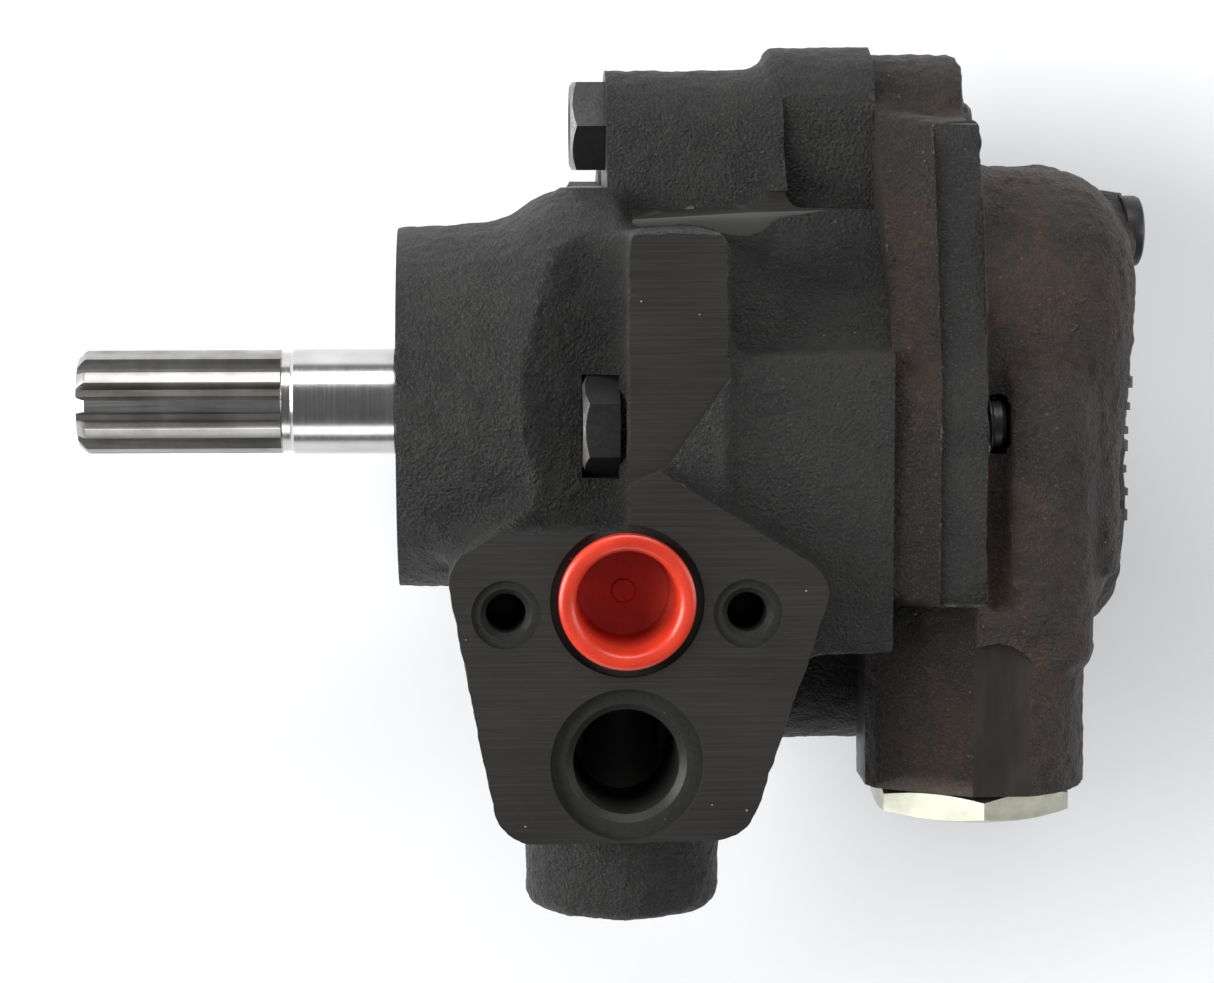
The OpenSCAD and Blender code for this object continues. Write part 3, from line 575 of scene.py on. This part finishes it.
frontBody = dict(
    grain=0.78, fillet=2.1, soften=4, waves=((0.16, 0.22), (0.42, 0.22), (0.75, 0.17)),
    noseRadius=33.1, collarRadius=38.3, caseRadius=30, lowRadius=27.4, idlerWall=22.5,
    earRadius=14.4, footLug=11.7, ridgeLeft=39.4, ridgeBlank=40.6, ridgeFace=40,
    blockTop=9.8, blockLow=-40.3, blockNear=32.6, earFaceLow=3.2,
    padCorners=((39.8, -13.4, 6.4), (15.2, -27.6, 6), (23.6, -65.6, 7), (54.9, -65.4, 6.8), (67.7, -29.8, 6)),
    hubRadius=17.5, hubEnd=-90, portRadius=9.15, portFace=13.15, tappedRadius=3.4, tappedFace=5.9,
    padHoleStep=20.6, noseCircle=27, seatRadius=12.2)


def flangeSkin(bm, x0, x1, earRadius):
    # the round-eared flange outline shared by the body and the cover
    for y in (earY, -earY):
        rod(bm, (x0, y, earZ), (x1, y, earZ), earRadius)
    for y in (lugY, -lugY):
        rod(bm, (x0, y, lugZ), (x1, y, lugZ), lugRadius)
    rod(bm, (x0, 0, 0), (x1, 0, 0), 30)
    right = [(41.7, footZ - 1.6), (59.5, -17), (50, 2.5), (38, 7), (20, 21)]
    prism(bm, right + [(-y, z) for y, z in reversed(right)], "x", x0, x1)


def frontBlank(look):
    bm = bmesh.new()
    nose, collar = look["noseRadius"], look["collarRadius"]
    rod(bm, (-4, -1.3, 0), (24, -0.5, 0), nose - 0.9, nose + 0.3, 96)
    lathe(bm, [
        (0, 18), (nose - 0.5, 18), (nose + 0.6, 20.5), (collar - 0.9, 26), (collar, 29),
        (collar - 0.6, 40), (0, 40)], (0, 0, 0), xAxis)
    rod(bm, (33, 0, 0), (jointX + 3, 0, 0), look["caseRadius"])
    wrapped(bm, [
        ((x, 0, z), r, xAxis) for x in (38, 70) for z, r in ((0, 26), (idlerZ, look["lowRadius"]))])
    rod(bm, (31, 0, idlerZ), (40, 0, idlerZ), look["idlerWall"])
    block(bm, (38, -20, footZ - 1), (70, 20, -36))
    for side in (1, -1):
        wrapped(bm, [
            ((x, side * (earY - inset), z), r, xAxis)
            for x in (32, 69) for inset, z, r in ((2.2, -9.5, 12.4), (20, -8.5, 13.2))])
        # shelf between the lug and the case
        wrapped(bm, [
            ((x, side * out, z), r, xAxis) for out, z, r in ((33, -8, 11.5), (18, -2, 16)) for x in (40, 70)])
    for y in (lugY, -lugY):
        rod(bm, (34, y, lugZ), (69, y, lugZ), look["footLug"])
    flangeSkin(bm, 67, jointX + 3, look["earRadius"])
    # near block, sloping down to the joint
    back, top, under, near = jointX + 3, look["blockTop"], look["blockLow"], look["blockNear"]
    wrapped(bm, [(corner, 1.5, xAxis) for corner in (
        (56, 4, 37.2), (62, 9.2, 36.4), (back, top, near), (56, -40.2, 37.6), (back, under, near),
        (56, 4, -10), (back, top, -10), (56, under, -10), (back, under, -10))], 16)
    # ridge round the near bolt, its face a little proud of where the cutter runs
    left, face = look["ridgeLeft"], look["ridgeBlank"]
    wrapped(bm, [(corner, r, zAxis) for corner, r in (
        ((40, 29, 4), 2), ((53, 27, 4), 5), ((left, 31.2, face), 0.8), ((53.4, 28, face), 4),
        ((left, -38, face), 0.8), ((52, -38, face), 5), ((40, -38, 5), 1.2), ((52.5, -38, 5), 5))], 24)
    # pad, left tall so that the milling cutter finishes it
    wrapped(bm, [((x, y, z), r + 0.15, zAxis) for x, y, r in look["padCorners"] for z in (24, padZ + 3)])
    wrapped(bm, [((portAt.x, y, z), r, zAxis) for y, r in ((-26, 17), (-58, 14.8)) for z in (0, 26)])
    hub = look["hubRadius"]
    lathe(
        bm, [(0, -0.6), (hub - 1.6, -0.6), (hub, 1), (hub, 66), (0, 66)],
        (hubAt.x, look["hubEnd"], hubAt.z), yAxis)
    return bm


def frontHollows():
    # the soft dip between the collar and the ridge, round the near bolt
    upperDip, lowerDip = bmesh.new(), bmesh.new()
    for bm, ends in ((upperDip, ((35, 26), (19, 32.6))), (lowerDip, ((20, 32.4), (-19, 36)))):
        wrapped(bm, [
            ((x, y, z + up), r, yAxis) for y, z in ends
            for x, up, r in ((34.1, 0, 5.7), (29.8, 7, 10), (19.8, 24, 20))], 40)
    return [upperDip, lowerDip]


def frontCuts(look):
    bore, face = look["portRadius"], look["portFace"]
    ports = []
    for y, floor in ((portAt.y, 2), (portTwo.y, hubAt.z - 4)):
        profile = [
            (0, padZ + 4), (face, padZ + 4), (face, padZ - 1.8), (bore + 1.2, padZ - 1.8), (bore, padZ - 3.2),
            (bore, floor), (0, floor)]
        ports.append((lathe, profile, (portAt.x, y, 0), zAxis))
    tapped = look["tappedRadius"]
    holes = []
    for side in (-1, 1):
        profile = [
            (0, padZ + 4), (look["tappedFace"], padZ + 4), (look["tappedFace"], padZ - 0.9),
            (tapped + 1.0, padZ - 0.9), (tapped, padZ - 2.4), (tapped, padZ - 17), (0, padZ - 19)]
        holes.append((lathe, profile, (padHoles.x + side * look["padHoleStep"], padHoles.y, 0), zAxis))
    noseHoles = []
    for turn in range(45, 360, 90):
        y = look["noseCircle"] * math.cos(math.radians(turn))
        z = look["noseCircle"] * math.sin(math.radians(turn))
        profile = [(0, -3), (tapped + 0.8, -3), (tapped + 0.8, 0), (tapped, 0.9), (tapped, 15), (0, 17)]
        noseHoles.append((lathe, profile, (0, y, z), xAxis, 48))
    seats = [
        (rod, (22, y, z), (seat, y, z), look["seatRadius"])
        for (y, z), seat, _ in bolts if y in (-earY, lugY, -lugY)]
    flat = look["earFaceLow"]
    return [
        tool("noseFace", milledBlack, (block, (-30, -60, -60), (0, 60, 60))),
        tool("jointFace", milledBlack, (block, (jointX, -80, -80), (jointX + 20, 80, 80))),
        tool("footFace", milledBlack, (block, (20, -80, footZ - 20), (jointX + 9, 80, footZ))),
        tool("padFace", milledBlack, (block, (0, -85, padZ), (85, 0, padZ + 20))),
        tool("ridgeFace", milledBlack, (prism, [
            (33, -14), (46.6, -8), (57.4, 7.4), (58.6, 14), (58.6, 40), (33, 40)],
            "z", look["ridgeFace"], 60)),
        tool("crescent", milledBlack, (wrapped, [
            ((x, y, z), 0.15, xAxis) for x, upper, lower in (
                (42, (31, 7.6), (33, 5.8)), (63, (30.2, 8.8), (34.2, 5)), (77, (33.4, 8.2), (34.6, 6.4)))
            for y, z in (upper, lower, (38, lower[1] - 0.1), (38, 12))], 8)),
        tool("upperSeat", milledBlack, (block, (20, 38.6, -60), (boltSeatX, 70, 30))),
        tool("lowerSeats", milledBlack, *seats),
        tool("nearSeat", milledBlack, (wrapped, [
            ((x, nearY, z), 8.95, xAxis) for x in (32.2, nearSeatX) for z in (nearZ, 34)])),
        tool("hubSeat", milledBlack, (rod, (30.2, -earY, earZ), (boltSeatX, -earY, earZ), 10)),
        tool("earFace", castBlack, (wrapped, [
            ((x, y, z), r, zAxis) for x, z, r, ends in (
                (72.4, flat, 3.2, (38.2, 66)), (78, 30, 3.2, (38.2, 66)),
                (110, flat, 0.4, (34.6, 75)), (110, 30, 0.4, (34.6, 75)))
            for y in ends], 32)),
        tool("noseBore", milledBlack, (lathe, [
            (0, -5), (21.2, -5), (21.2, 0), (20, 1.2), (20, 11.2), (21.2, 11.2), (21.2, 12.9),
            (20, 12.9), (20, 25), (15, 25), (15, 30), (9, 30), (9, 39), (0, 39)], (0, 0, 0), xAxis)),
        tool("noseHoles", boredBlack, *noseHoles),
        tool("driveChamber", milledBlack, (rod, (38, 0, 0), (90, 0, 0), chamberRadius, None, 128)),
        tool("idlerChamber", milledBlack, (rod, (38, 0, idlerZ), (90, 0, idlerZ), chamberRadius, None, 128)),
        tool("portOne", boredBlack, ports[0]),
        tool("portTwo", boredBlack, ports[1]),
        tool("padHoles", boredBlack, *holes),
        tool("hubBore", boredBlack, (lathe, [
            (0, -4), (9.4, -4), (9.4, 0), (8, 1.4), (8, 35), (0, 35)],
            (hubAt.x, look["hubEnd"], hubAt.z), yAxis)),
        tool("boltHoles", boredBlack, *boltRods(36, 95, boltClear)),
        tool("dowelHoles", boredBlack, *dowelRods(80, 95)),
    ]


frontCasting = cast(frontBlank(frontBody), "frontCasting", frontBody, frontHollows())
carve(frontCasting, frontCuts(frontBody), [castBlack, milledBlack, boredBlack])
finish(frontCasting, "housing", [], ["front_body"], 28)


# the cover's cuts need the plug's sizes too
rearPlug = dict(y=30.5, z=-3, radius=6.5, stem=4.15, seatX=132, thick=3.6, socket=5.196, socketDepth=3)
rearCover = dict(
    grain=0.72, fillet=1.9, soften=3, waves=((0.14, 0.34), (0.4, 0.3), (0.75, 0.2)),
    domeTop=42.4, domeLow=-47.4, domeNear=28, domeFar=-45, backX=133.5,
    housingX=112.8, housingZ=22.8, housingRadius=10.4, bossRadius=20.5, bandX=94.2, boltRelief=5.6,
    plugBore=12.95, spoolBore=8.03, sealBore=14.85,
    bars=7, barsTop=4, barStep=4.3)


def shoulder(t):
    # near side of the cover's flange at the joint, t = 0, and at its back, t = 1
    return [
        (52 - t, -5), (52 - 2 * t, 5 + 15 * t), (13, 21 + 10 * t), (4, 32 + 2 * t),
        (-33, 32 + 2 * t), (-33, -5)]


def rearBlank(look):
    bm = bmesh.new()
    flangeSkin(bm, jointX - 3, flangeX, 13)
    wrapped(bm, [
        ((x, y + 0.2, z + 0.4), 0.3, xAxis) for x, t in ((jointX - 3, -0.3), (95, 1), (flangeX, 1))
        for y, z in shoulder(t)], 8)
    near, far = 24, 18
    top, under, front, back = look["domeTop"], look["domeLow"], look["domeNear"], look["domeFar"]
    # the dome rounds off early on the near side; the back plate behind it lies lower
    for rings, rise in (
            (((flangeX - 2, 0), (113, 0), (117.5, 1.2), (121.5, 3.4), (125, 7), (127.6, 12)), 0),
            ((
                (flangeX - 2, 0), (120.5, 0), (124.8, 1.4), (128.2, 3.4), (131.2, 5.4),
                (look["backX"], 8)), -21)):
        # its upper near corner reaches a little further back
        wrapped(bm, [
            ((x + (3.9 if y > 0 and z + drop > 0 and x > 114 else 0), y, z + drop), r - inset, xAxis)
            for x, inset in rings for y, z, r, drop in (
                (top - near, front - near, near, rise), (under + near, front - near, near, rise),
                (top - 8 - far, back + far, far, 0), (under + 8 + far, back + far, far, 0))], 72)
    # raised pads on the back plate's near side
    wrapped(bm, [((x, y, z), r, xAxis) for x, grow in ((120, 0), (127.5, 0), (129, -1.2)) for y, z, r in (
        (-5, 4, 9.6 + grow), (-21, 4, 9.6 + grow))], 40)
    wrapped(bm, [
        ((x, y, z), r, xAxis) for x in (124, look["backX"])
        for y, z, r in ((26, -3, 9), (34, -8, 4))], 32)
    hx, hz, hr = look["housingX"], look["housingZ"], look["housingRadius"]
    wrapped(bm, [
        ((hx, y, hz), hr * share, yAxis)
        for y, share in ((-45, 1), (2, 1), (6, 0.92), (9.2, 0.72), (11.6, 0.4))])
    block(bm, (flangeX - 3, -40, 0), (hx - 2, 1, 27))
    # bulge between the housing and the dome
    wrapped(bm, [((hx + 6, 14, 17), 9, yAxis), ((hx + 4, 2, 18), 10, yAxis), ((hx + 8, -30, 14), 9, yAxis)])
    rod(bm, (valveAt.x, bossY - 3, valveAt.z), (valveAt.x, -34, valveAt.z), look["bossRadius"], segments=96)
    wrapped(bm, [
        ((hx - 4, -38, 22), 13.2, yAxis), ((hx - 3, -30, 22), 12.4, yAxis), ((hx, -20, hz), hr, yAxis)])
    return bm


def rearHollows():
    # the groove behind the flange where the near bolt's end shows
    notch = bmesh.new()
    wrapped(notch, [((flangeX + 1.2, y, z), 1.3, yAxis) for y in (-5.4, 1.0) for z in (25.5, 60)] + [
        ((flangeX + 2.2, y, z), 1.6, yAxis) for y in (-4.4, 0.2) for z in (25.5, 60)], 16)
    gap = bmesh.new()
    wrapped(gap, [
        ((flangeX + 2.4, y, z), 2.2, yAxis)
        for y, floor in ((-34, 34), (-20, 30.5), (46, 30.5)) for z in (floor, 60)], 16)
    return [notch, gap]


def rearCuts(look):
    vx, vz = valveAt.x, valveAt.z
    py, pz, seatX = rearPlug["y"], rearPlug["z"], rearPlug["seatX"]
    band = [(y, z - 0.35) for y, z in shoulder(1)[1:5]]
    bandCut = band + [(-33, 70), (80, 70), (80, band[0][1] - 12)]
    oblique = [(70, 16.3), (83, 23.5), (100.5, 33.2), (104, 60), (70, 60)]
    return [
        tool("jointFace", milledBrown, (block, (60, -42.5, -80), (jointX, 80, 80))),
        tool("lowJointFace", milledBrown, (block, (60, -90, -80), (jointX, -40, 3.9))),
        tool("footFace", milledBrown, (block, (60, -80, footZ - 20), (140, 80, footZ))),
        tool("bandFace", castBlack, (prism, bandCut, "x", look["bandX"], flangeX + 0.01)),
        tool("bossEnd", milledBrown, (block, (70, -90, -20), (140, bossY, 60))),
        tool("bossSide", milledBrown, (block, (70, -90, -20), (83, -42, 60))),
        tool("bossOblique", castBrown, (prism, oblique, "y", -80, -33.5)),
        tool("bossNear", milledBrown, (wrapped, [
            ((x, y, z), r, zAxis) for z in (33.2, 60)
            for x, y, r in ((104, -48, 8), (120, -80, 8), (96, -80, 8), (116, -56, 4))])),
        tool("plugBore", boredBlack, (rod, (vx, -80, vz), (vx, -52, vz), look["plugBore"], None, 96)),
        tool("spoolBore", milledBrown, (rod, (vx, -53, vz), (vx, -16, vz), look["spoolBore"], None, 96)),
        tool("bushingBores", milledBrown, *[
            (rod, (80, 0, z), (105, 0, z), bushingSeat) for z in (0, idlerZ)]),
        tool("boltHoles", boredBlack, *boltRods(80, 107, boltTight)),
        tool("boltReliefs", boredBlack, *boltRods(flangeX, 106.4, look["boltRelief"])),
        tool("dowelHoles", boredBlack, *dowelRods(80, 92)),
        tool("sealRing", boredBlack, (
            rod, (vx, -70, vz), (vx, bossY + 2.2, vz), look["sealBore"], None, 96)),
        tool("rearPlugHole", boredBlack, (rod, (123, py, pz), (140, py, pz), rearPlug["stem"] + 0.1)),
        tool("rearPlugSeat", boredBlack, (rod, (seatX, py, pz), (140, py, pz), rearPlug["radius"] + 0.3)),
    ]


rearCasting = cast(rearBlank(rearCover), "rearCasting", rearCover, rearHollows())
carve(rearCasting, rearCuts(rearCover), [castBrown, milledBrown, boredBlack, castBlack])


def edgeBars(thing, look):
    # plain raised bars down the near edge of the back plate
    bars = bmesh.new()
    for k in range(look["bars"]):
        y = look["barsTop"] - k * look["barStep"]
        near = [v.co / mm for v in thing.data.vertices if abs(v.co.y / mm - y) < 1.5 and v.co.z > -0.02]
        corner = max(near, key=lambda place: place.x + place.z * 0.22)
        tall = 1.3 if k % 3 else 2.0
        wrapped(bars, [
            ((corner.x + x, y + side * tall * 0.5, corner.z + z), 0.45, yAxis)
            for side in (-1, 1) for x, z in ((-2, -5), (0.15, -5), (0.15, -0.6), (-2, 0.2))], 12)
    cut(thing, bars, milledBrown, "UNION")


edgeBars(rearCasting, rearCover)
finish(rearCasting, "housing", [], ["rear_cover"], 28)


coverBolts = dict(flats=16, head=6.4, radius=4.98, length=67.5, pitch=1.5, turns=15)


def makeBolts(look):
    bm = bmesh.new()
    radius, pitch = look["radius"], look["pitch"]
    root = radius - 0.8
    for (y, z), seat, turn in bolts:
        head = bmesh.new()
        front = seat - look["head"]
        hexagon(
            head, look["flats"], look["head"], placed((front + look["head"] / 2, y, z), xAxis)
            @ Matrix.Rotation(math.radians(turn), 4, "Z"))
        headThing = newThing(head, "boltHead", [blackOxide, wornOxide])
        chamfer = bmesh.new()
        lathe(chamfer, [(7.3, -1), (12, -1), (12, 2.4), (9.4, 1.25), (7.3, 0)], (front, y, z), xAxis, 72)
        cut(headThing, chamfer, wornOxide)
        dish = bmesh.new()
        lathe(dish, [(0, -1), (5.2, -1), (5.2, 0), (4.6, 0.35), (0, 0.35)], (front, y, z), xAxis, 48)
        cut(headThing, dish, blackOxide)
        headThing.data.transform(Matrix.Scale(1 / mm, 4))
        bm.from_mesh(headThing.data)
        bpy.data.objects.remove(headThing)
        end = seat + look["length"]
        lathe(bm, [
            (0, seat - 0.5), (radius, seat - 0.5), (radius, end - 26), (root, end - 25),
            (root, end - 0.8), (root - 0.8, end), (0, end)], (0, y, z), xAxis, 48)
        helix(bm, [
            (radius - 0.95, -0.7), (radius, -0.12), (radius, 0.12), (radius - 0.95, 0.7)],
            (end - 1.6 - pitch * look["turns"], y, z), xAxis, pitch, look["turns"], 28)
    piece(bm, "boltSet", "housing", [blackOxide, wornOxide], ["cover_bolts"], 30)


makeBolts(coverBolts)


driveShaft = dict(
    teeth=11, tipX=-57.6, splineEnd=-21.1, splineRadius=9.4, rootRadius=7.8,
    journal=9.525, sealLand=9.325, bearingSeat=8.5, innerRadius=8)


def makeShaft(look):
    bm = bmesh.new()
    tip, end, outer = look["tipX"], look["splineEnd"], look["splineRadius"]
    journal, land, seat, inner = look["journal"], look["sealLand"], look["bearingSeat"], look["innerRadius"]
    lathe(bm, [
        (0, tip + 5), (1.2, tip + 4.6), (1.2, tip + 2), (3, tip), (outer - 1.5, tip),
        (outer - 0.2, tip + 1.3), (outer, tip + 1.7), (outer, end), (9, end + 0.25), (9, end + 1.7),
        (journal, end + 2.3), (journal, -0.8), (land, -0.6), (land, 12.9), (seat, 12.9), (seat, 25.1),
        (inner, 25.1), (inner, 26.3), (seat, 26.3), (seat, 28), (inner, 29), (inner, 102),
        (inner - 1, 103), (0, 103)], (0, 0, 0), xAxis, 128)
    thing = newThing(bm, "inputShaft")
    grooves, edges = bmesh.new(), bmesh.new()
    root = look["rootRadius"]
    for k in range(look["teeth"]):
        middle = 90 + 360 * (k + 0.5) / look["teeth"]

        def at(radius, angle):
            turn = math.radians(middle + angle)
            return radius * math.cos(turn), radius * math.sin(turn)
        flank = [(root, 4.4), (root + 0.35, 6.6), (root + 0.9, 8.4), (outer, 10.2), (outer + 1.2, 12.4)]
        chamfer = [(outer - 0.14, 9.6), (outer + 0.5, 12.4)]
        for cutter, side in ((grooves, flank), (edges, chamfer)):
            outline = [at(r, -a) for r, a in reversed(side)] + [at(r, a) for r, a in side]
            prism(cutter, outline, "x", tip - 3, end + 0.01)
    key = bmesh.new()
    block(key, (56, -2, 6.2), (76, 2, 12))
    carve(
        thing, [("grooves", grooves, grooveSteel), ("edges", edges, groundSteel), ("keyway", key, gearSteel)],
        [splineSteel, groundSteel, grooveSteel, gearSteel])
    for face in thing.data.polygons:
        if face.material_index == 0 and face.center.x > (end + 0.1) * mm:
            face.material_index = 1
    finish(thing, "drive_line", [], ["drive_shaft"], 24)


makeShaft(driveShaft)


valvePlug = dict(flats=33, head=5.2, thread=12.9, depth=14.8, pocket=6.3, bore=8.2)


def makePlug(look):
    # the hex plug that closes the valve bore
    x, z = valveAt.x, valveAt.z
    head = bmesh.new()
    hexagon(head, look["flats"], look["head"], placed((x, bossY - look["head"] / 2, z), -yAxis))
    thing = newThing(head, "valveBorePlug", [zincPlate])
    for start, way in ((bossY - look["head"], yAxis), (bossY, -yAxis)):
        chamfer = bmesh.new()
        lathe(chamfer, [(15.6, -1), (24, -1), (24, 2.9), (19.1, 1.15), (15.6, 0)], (x, start, z), way, 96)
        cut(thing, chamfer, zincPlate)
    stem = bmesh.new()
    crest, depth, bore, pocket = look["thread"], look["depth"], look["bore"], look["pocket"]
    lathe(stem, [
        (0, -0.4), (crest - 1.0, -0.4), (crest - 1.0, depth - 0.6), (crest - 1.8, depth),
        (bore, depth), (bore, pocket), (0, pocket)], (x, bossY, z), yAxis, 96)
    helix(stem, [
        (crest - 1.1, -0.8), (crest, -0.12), (crest, 0.12), (crest - 1.1, 0.8)],
        (x, bossY + 3, z), yAxis, 1.8, 5.8, 64)
    bmesh.ops.scale(stem, vec=(mm, mm, mm), verts=stem.verts)
    stem.from_mesh(thing.data)
    stem.to_mesh(thing.data)
    stem.free()
    finish(thing, "housing", [], ["valve_plug"], 30)


makePlug(valvePlug)


portCap = dict(rim=11.75, inner=8.75, cup=9.1, depth=15)


def makeCap(look):
    # a thin moulded cap: flared rim, draughted cup and a gate mark on its floor
    bm = bmesh.new()
    rim, inner, cup = look["rim"], look["inner"], look["cup"]
    floor = padZ - look["depth"]
    outside = [
        (0, floor), (cup - 1.4, floor), (cup - 0.8, floor + 0.5), (cup - 0.3, padZ - 2.9),
        (cup - 0.05, padZ - 1.9), (cup + 0.5, padZ - 1.75)]
    rolled = [
        (rim - 0.7, padZ - 1.78), (rim - 0.25, padZ - 1.2), (rim - 0.02, padZ - 0.2), (rim, padZ + 0.9),
        (rim - 0.15, padZ + 1.6), (rim - 0.6, padZ + 1.95), (rim - 1.2, padZ + 2)]
    inside = [
        (inner + 0.9, padZ + 1.85), (inner + 0.35, padZ + 1.55), (inner, padZ + 0.9),
        (inner - 0.6, floor + 3.4), (inner - 0.75, floor + 2), (inner - 1.1, floor + 1.5),
        (inner - 1.7, floor + 1.35)]
    gate = [(2.2, floor + 1.3), (1.9, floor + 1.7), (0.5, floor + 1.75), (0, floor + 1.75)]
    lathe(bm, outside + rolled + inside + gate, (portAt.x, portAt.y, 0), zAxis, 128)
    piece(bm, "redPortCap", "cap", [capPlastic], ["port_cap"], 40)


makeCap(portCap)


def makeRearPlug(look):
    bm = bmesh.new()
    seat, tip, r, stem = look["seatX"], look["seatX"] + look["thick"], look["radius"], look["stem"]
    lathe(bm, [
        (0, seat - 8.5), (3.4, seat - 8.5), (stem, seat - 7.7), (stem, seat), (r - 0.3, seat),
        (r, seat + 0.3), (r, tip - 1.1), (r - 0.3, tip - 0.4), (r - 1.1, tip), (4.3, tip),
        (4.0, tip - 0.3), (0, tip - 0.35)],
        (0, look["y"], look["z"]), xAxis, 72)
    thing = newThing(bm, "backPlug", [blackOxide])
    socket = bmesh.new()
    hexagon(socket, look["socket"], look["socketDepth"] * 2, placed((tip, look["y"], look["z"]), xAxis))
    cut(thing, socket, blackOxide)
    finish(thing, "housing", [], ["rear_plug"], 30)


makeRearPlug(rearPlug)


# radius, wire, turns, node, body, joint that squashes it, share of its length kept
springs = dict(
    flow=(6.4, 0.9, 6.0, "flow_spring", "housing", "spool_slide", 0.756),
    relief=(3.2, 0.5, 5.0, "relief_spring", "spool_set", "relief_slide", 0.68))


def makeSprings(look):
    for name, (radius, wire, turns, node, body, joint, keep) in look.items():
        bm = bmesh.new()
        top, bottom = highest(node).y - wire, lowest(node).y + wire
        helix(bm, ring(radius, wire), (valveAt.x, top, valveAt.z), -yAxis, (top - bottom) / turns, turns, 40)
        thing = piece(bm, name + "Coil", body, [groundSteel], [node], 60)
        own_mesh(thing)


makeSprings(springs)
print("small pieces ready")

stageLook = dict(floor=(0.86, 0.865, 0.88), reach=3.0, world=(0.93, 0.96, 1.0), worldStrength=0.13)
cameraLook = dict(
    lens=96.21, sensor=36, place=(0.01303, 0.04707, 0.58921), turn=(-6.1725, -2.4109, -0.026))
# place, size and power of each light; all aim at the middle of the pump
lightAim = (0.03, 0, 0)
lights = dict(
    keyLeft=((-0.85, 0.12, 0.42), (0.6, 1.0), 20),
    topSide=((0.1, 0.95, 0.6), (1.1, 0.5), 9),
    rightSide=((0.95, 0.1, 0.45), (0.5, 0.9), 5),
    lowSide=((0.0, -0.95, 0.5), (1.0, 0.4), 3))


def makeFloor(look):
    bm = bmesh.new()
    bmesh.ops.create_grid(bm, x_segments=1, y_segments=1, size=look["reach"])
    mesh = bpy.data.meshes.new("floor")
    bm.to_mesh(mesh)
    bm.free()
    floor = bpy.data.objects.new("floor", mesh)
    floor.location = (0.04, 0, cadLow.z)
    bpy.context.scene.collection.objects.link(floor)
    graph = Graph("paper")
    soft = graph.noise(0.02, 3)
    colour = graph.mix(graph.ramp(soft, 0.3, 0.7), tuple(c * 0.97 for c in look["floor"]), look["floor"])
    mesh.materials.append(graph.set(Base_Color=colour, Roughness=0.9))


def makeLight(name, place, size, power):
    light = bpy.data.lights.new(name, "AREA")
    light.shape, light.size, light.size_y = "RECTANGLE", *size
    light.energy = power
    lamp = bpy.data.objects.new(name, light)
    lamp.location = place
    lamp.rotation_euler = (Vector(lightAim) - Vector(place)).to_track_quat("-Z", "Y").to_euler()
    bpy.context.scene.collection.objects.link(lamp)


def makeWorld(look):
    world = bpy.data.worlds.new("room")
    bpy.context.scene.world = world
    world.use_nodes = True
    back = world.node_tree.nodes["Background"]
    back.inputs["Color"].default_value = (*look["world"], 1)
    back.inputs["Strength"].default_value = look["worldStrength"]


def makeCamera(look):
    data = bpy.data.cameras.new("camera")
    data.sensor_width, data.lens = look["sensor"], look["lens"]
    data.clip_start, data.clip_end = 0.05, 10
    camera = bpy.data.objects.new("camera", data)
    camera.location = look["place"]
    camera.rotation_euler = [math.radians(angle) for angle in look["turn"]]
    bpy.context.scene.collection.objects.link(camera)
    bpy.context.scene.camera = camera


bpy.context.scene.view_settings.view_transform = "Standard"
makeFloor(stageLook)
makeWorld(stageLook)
for name, (place, size, power) in lights.items():
    makeLight(name, place, size, power)
makeCamera(cameraLook)
print("stage ready")
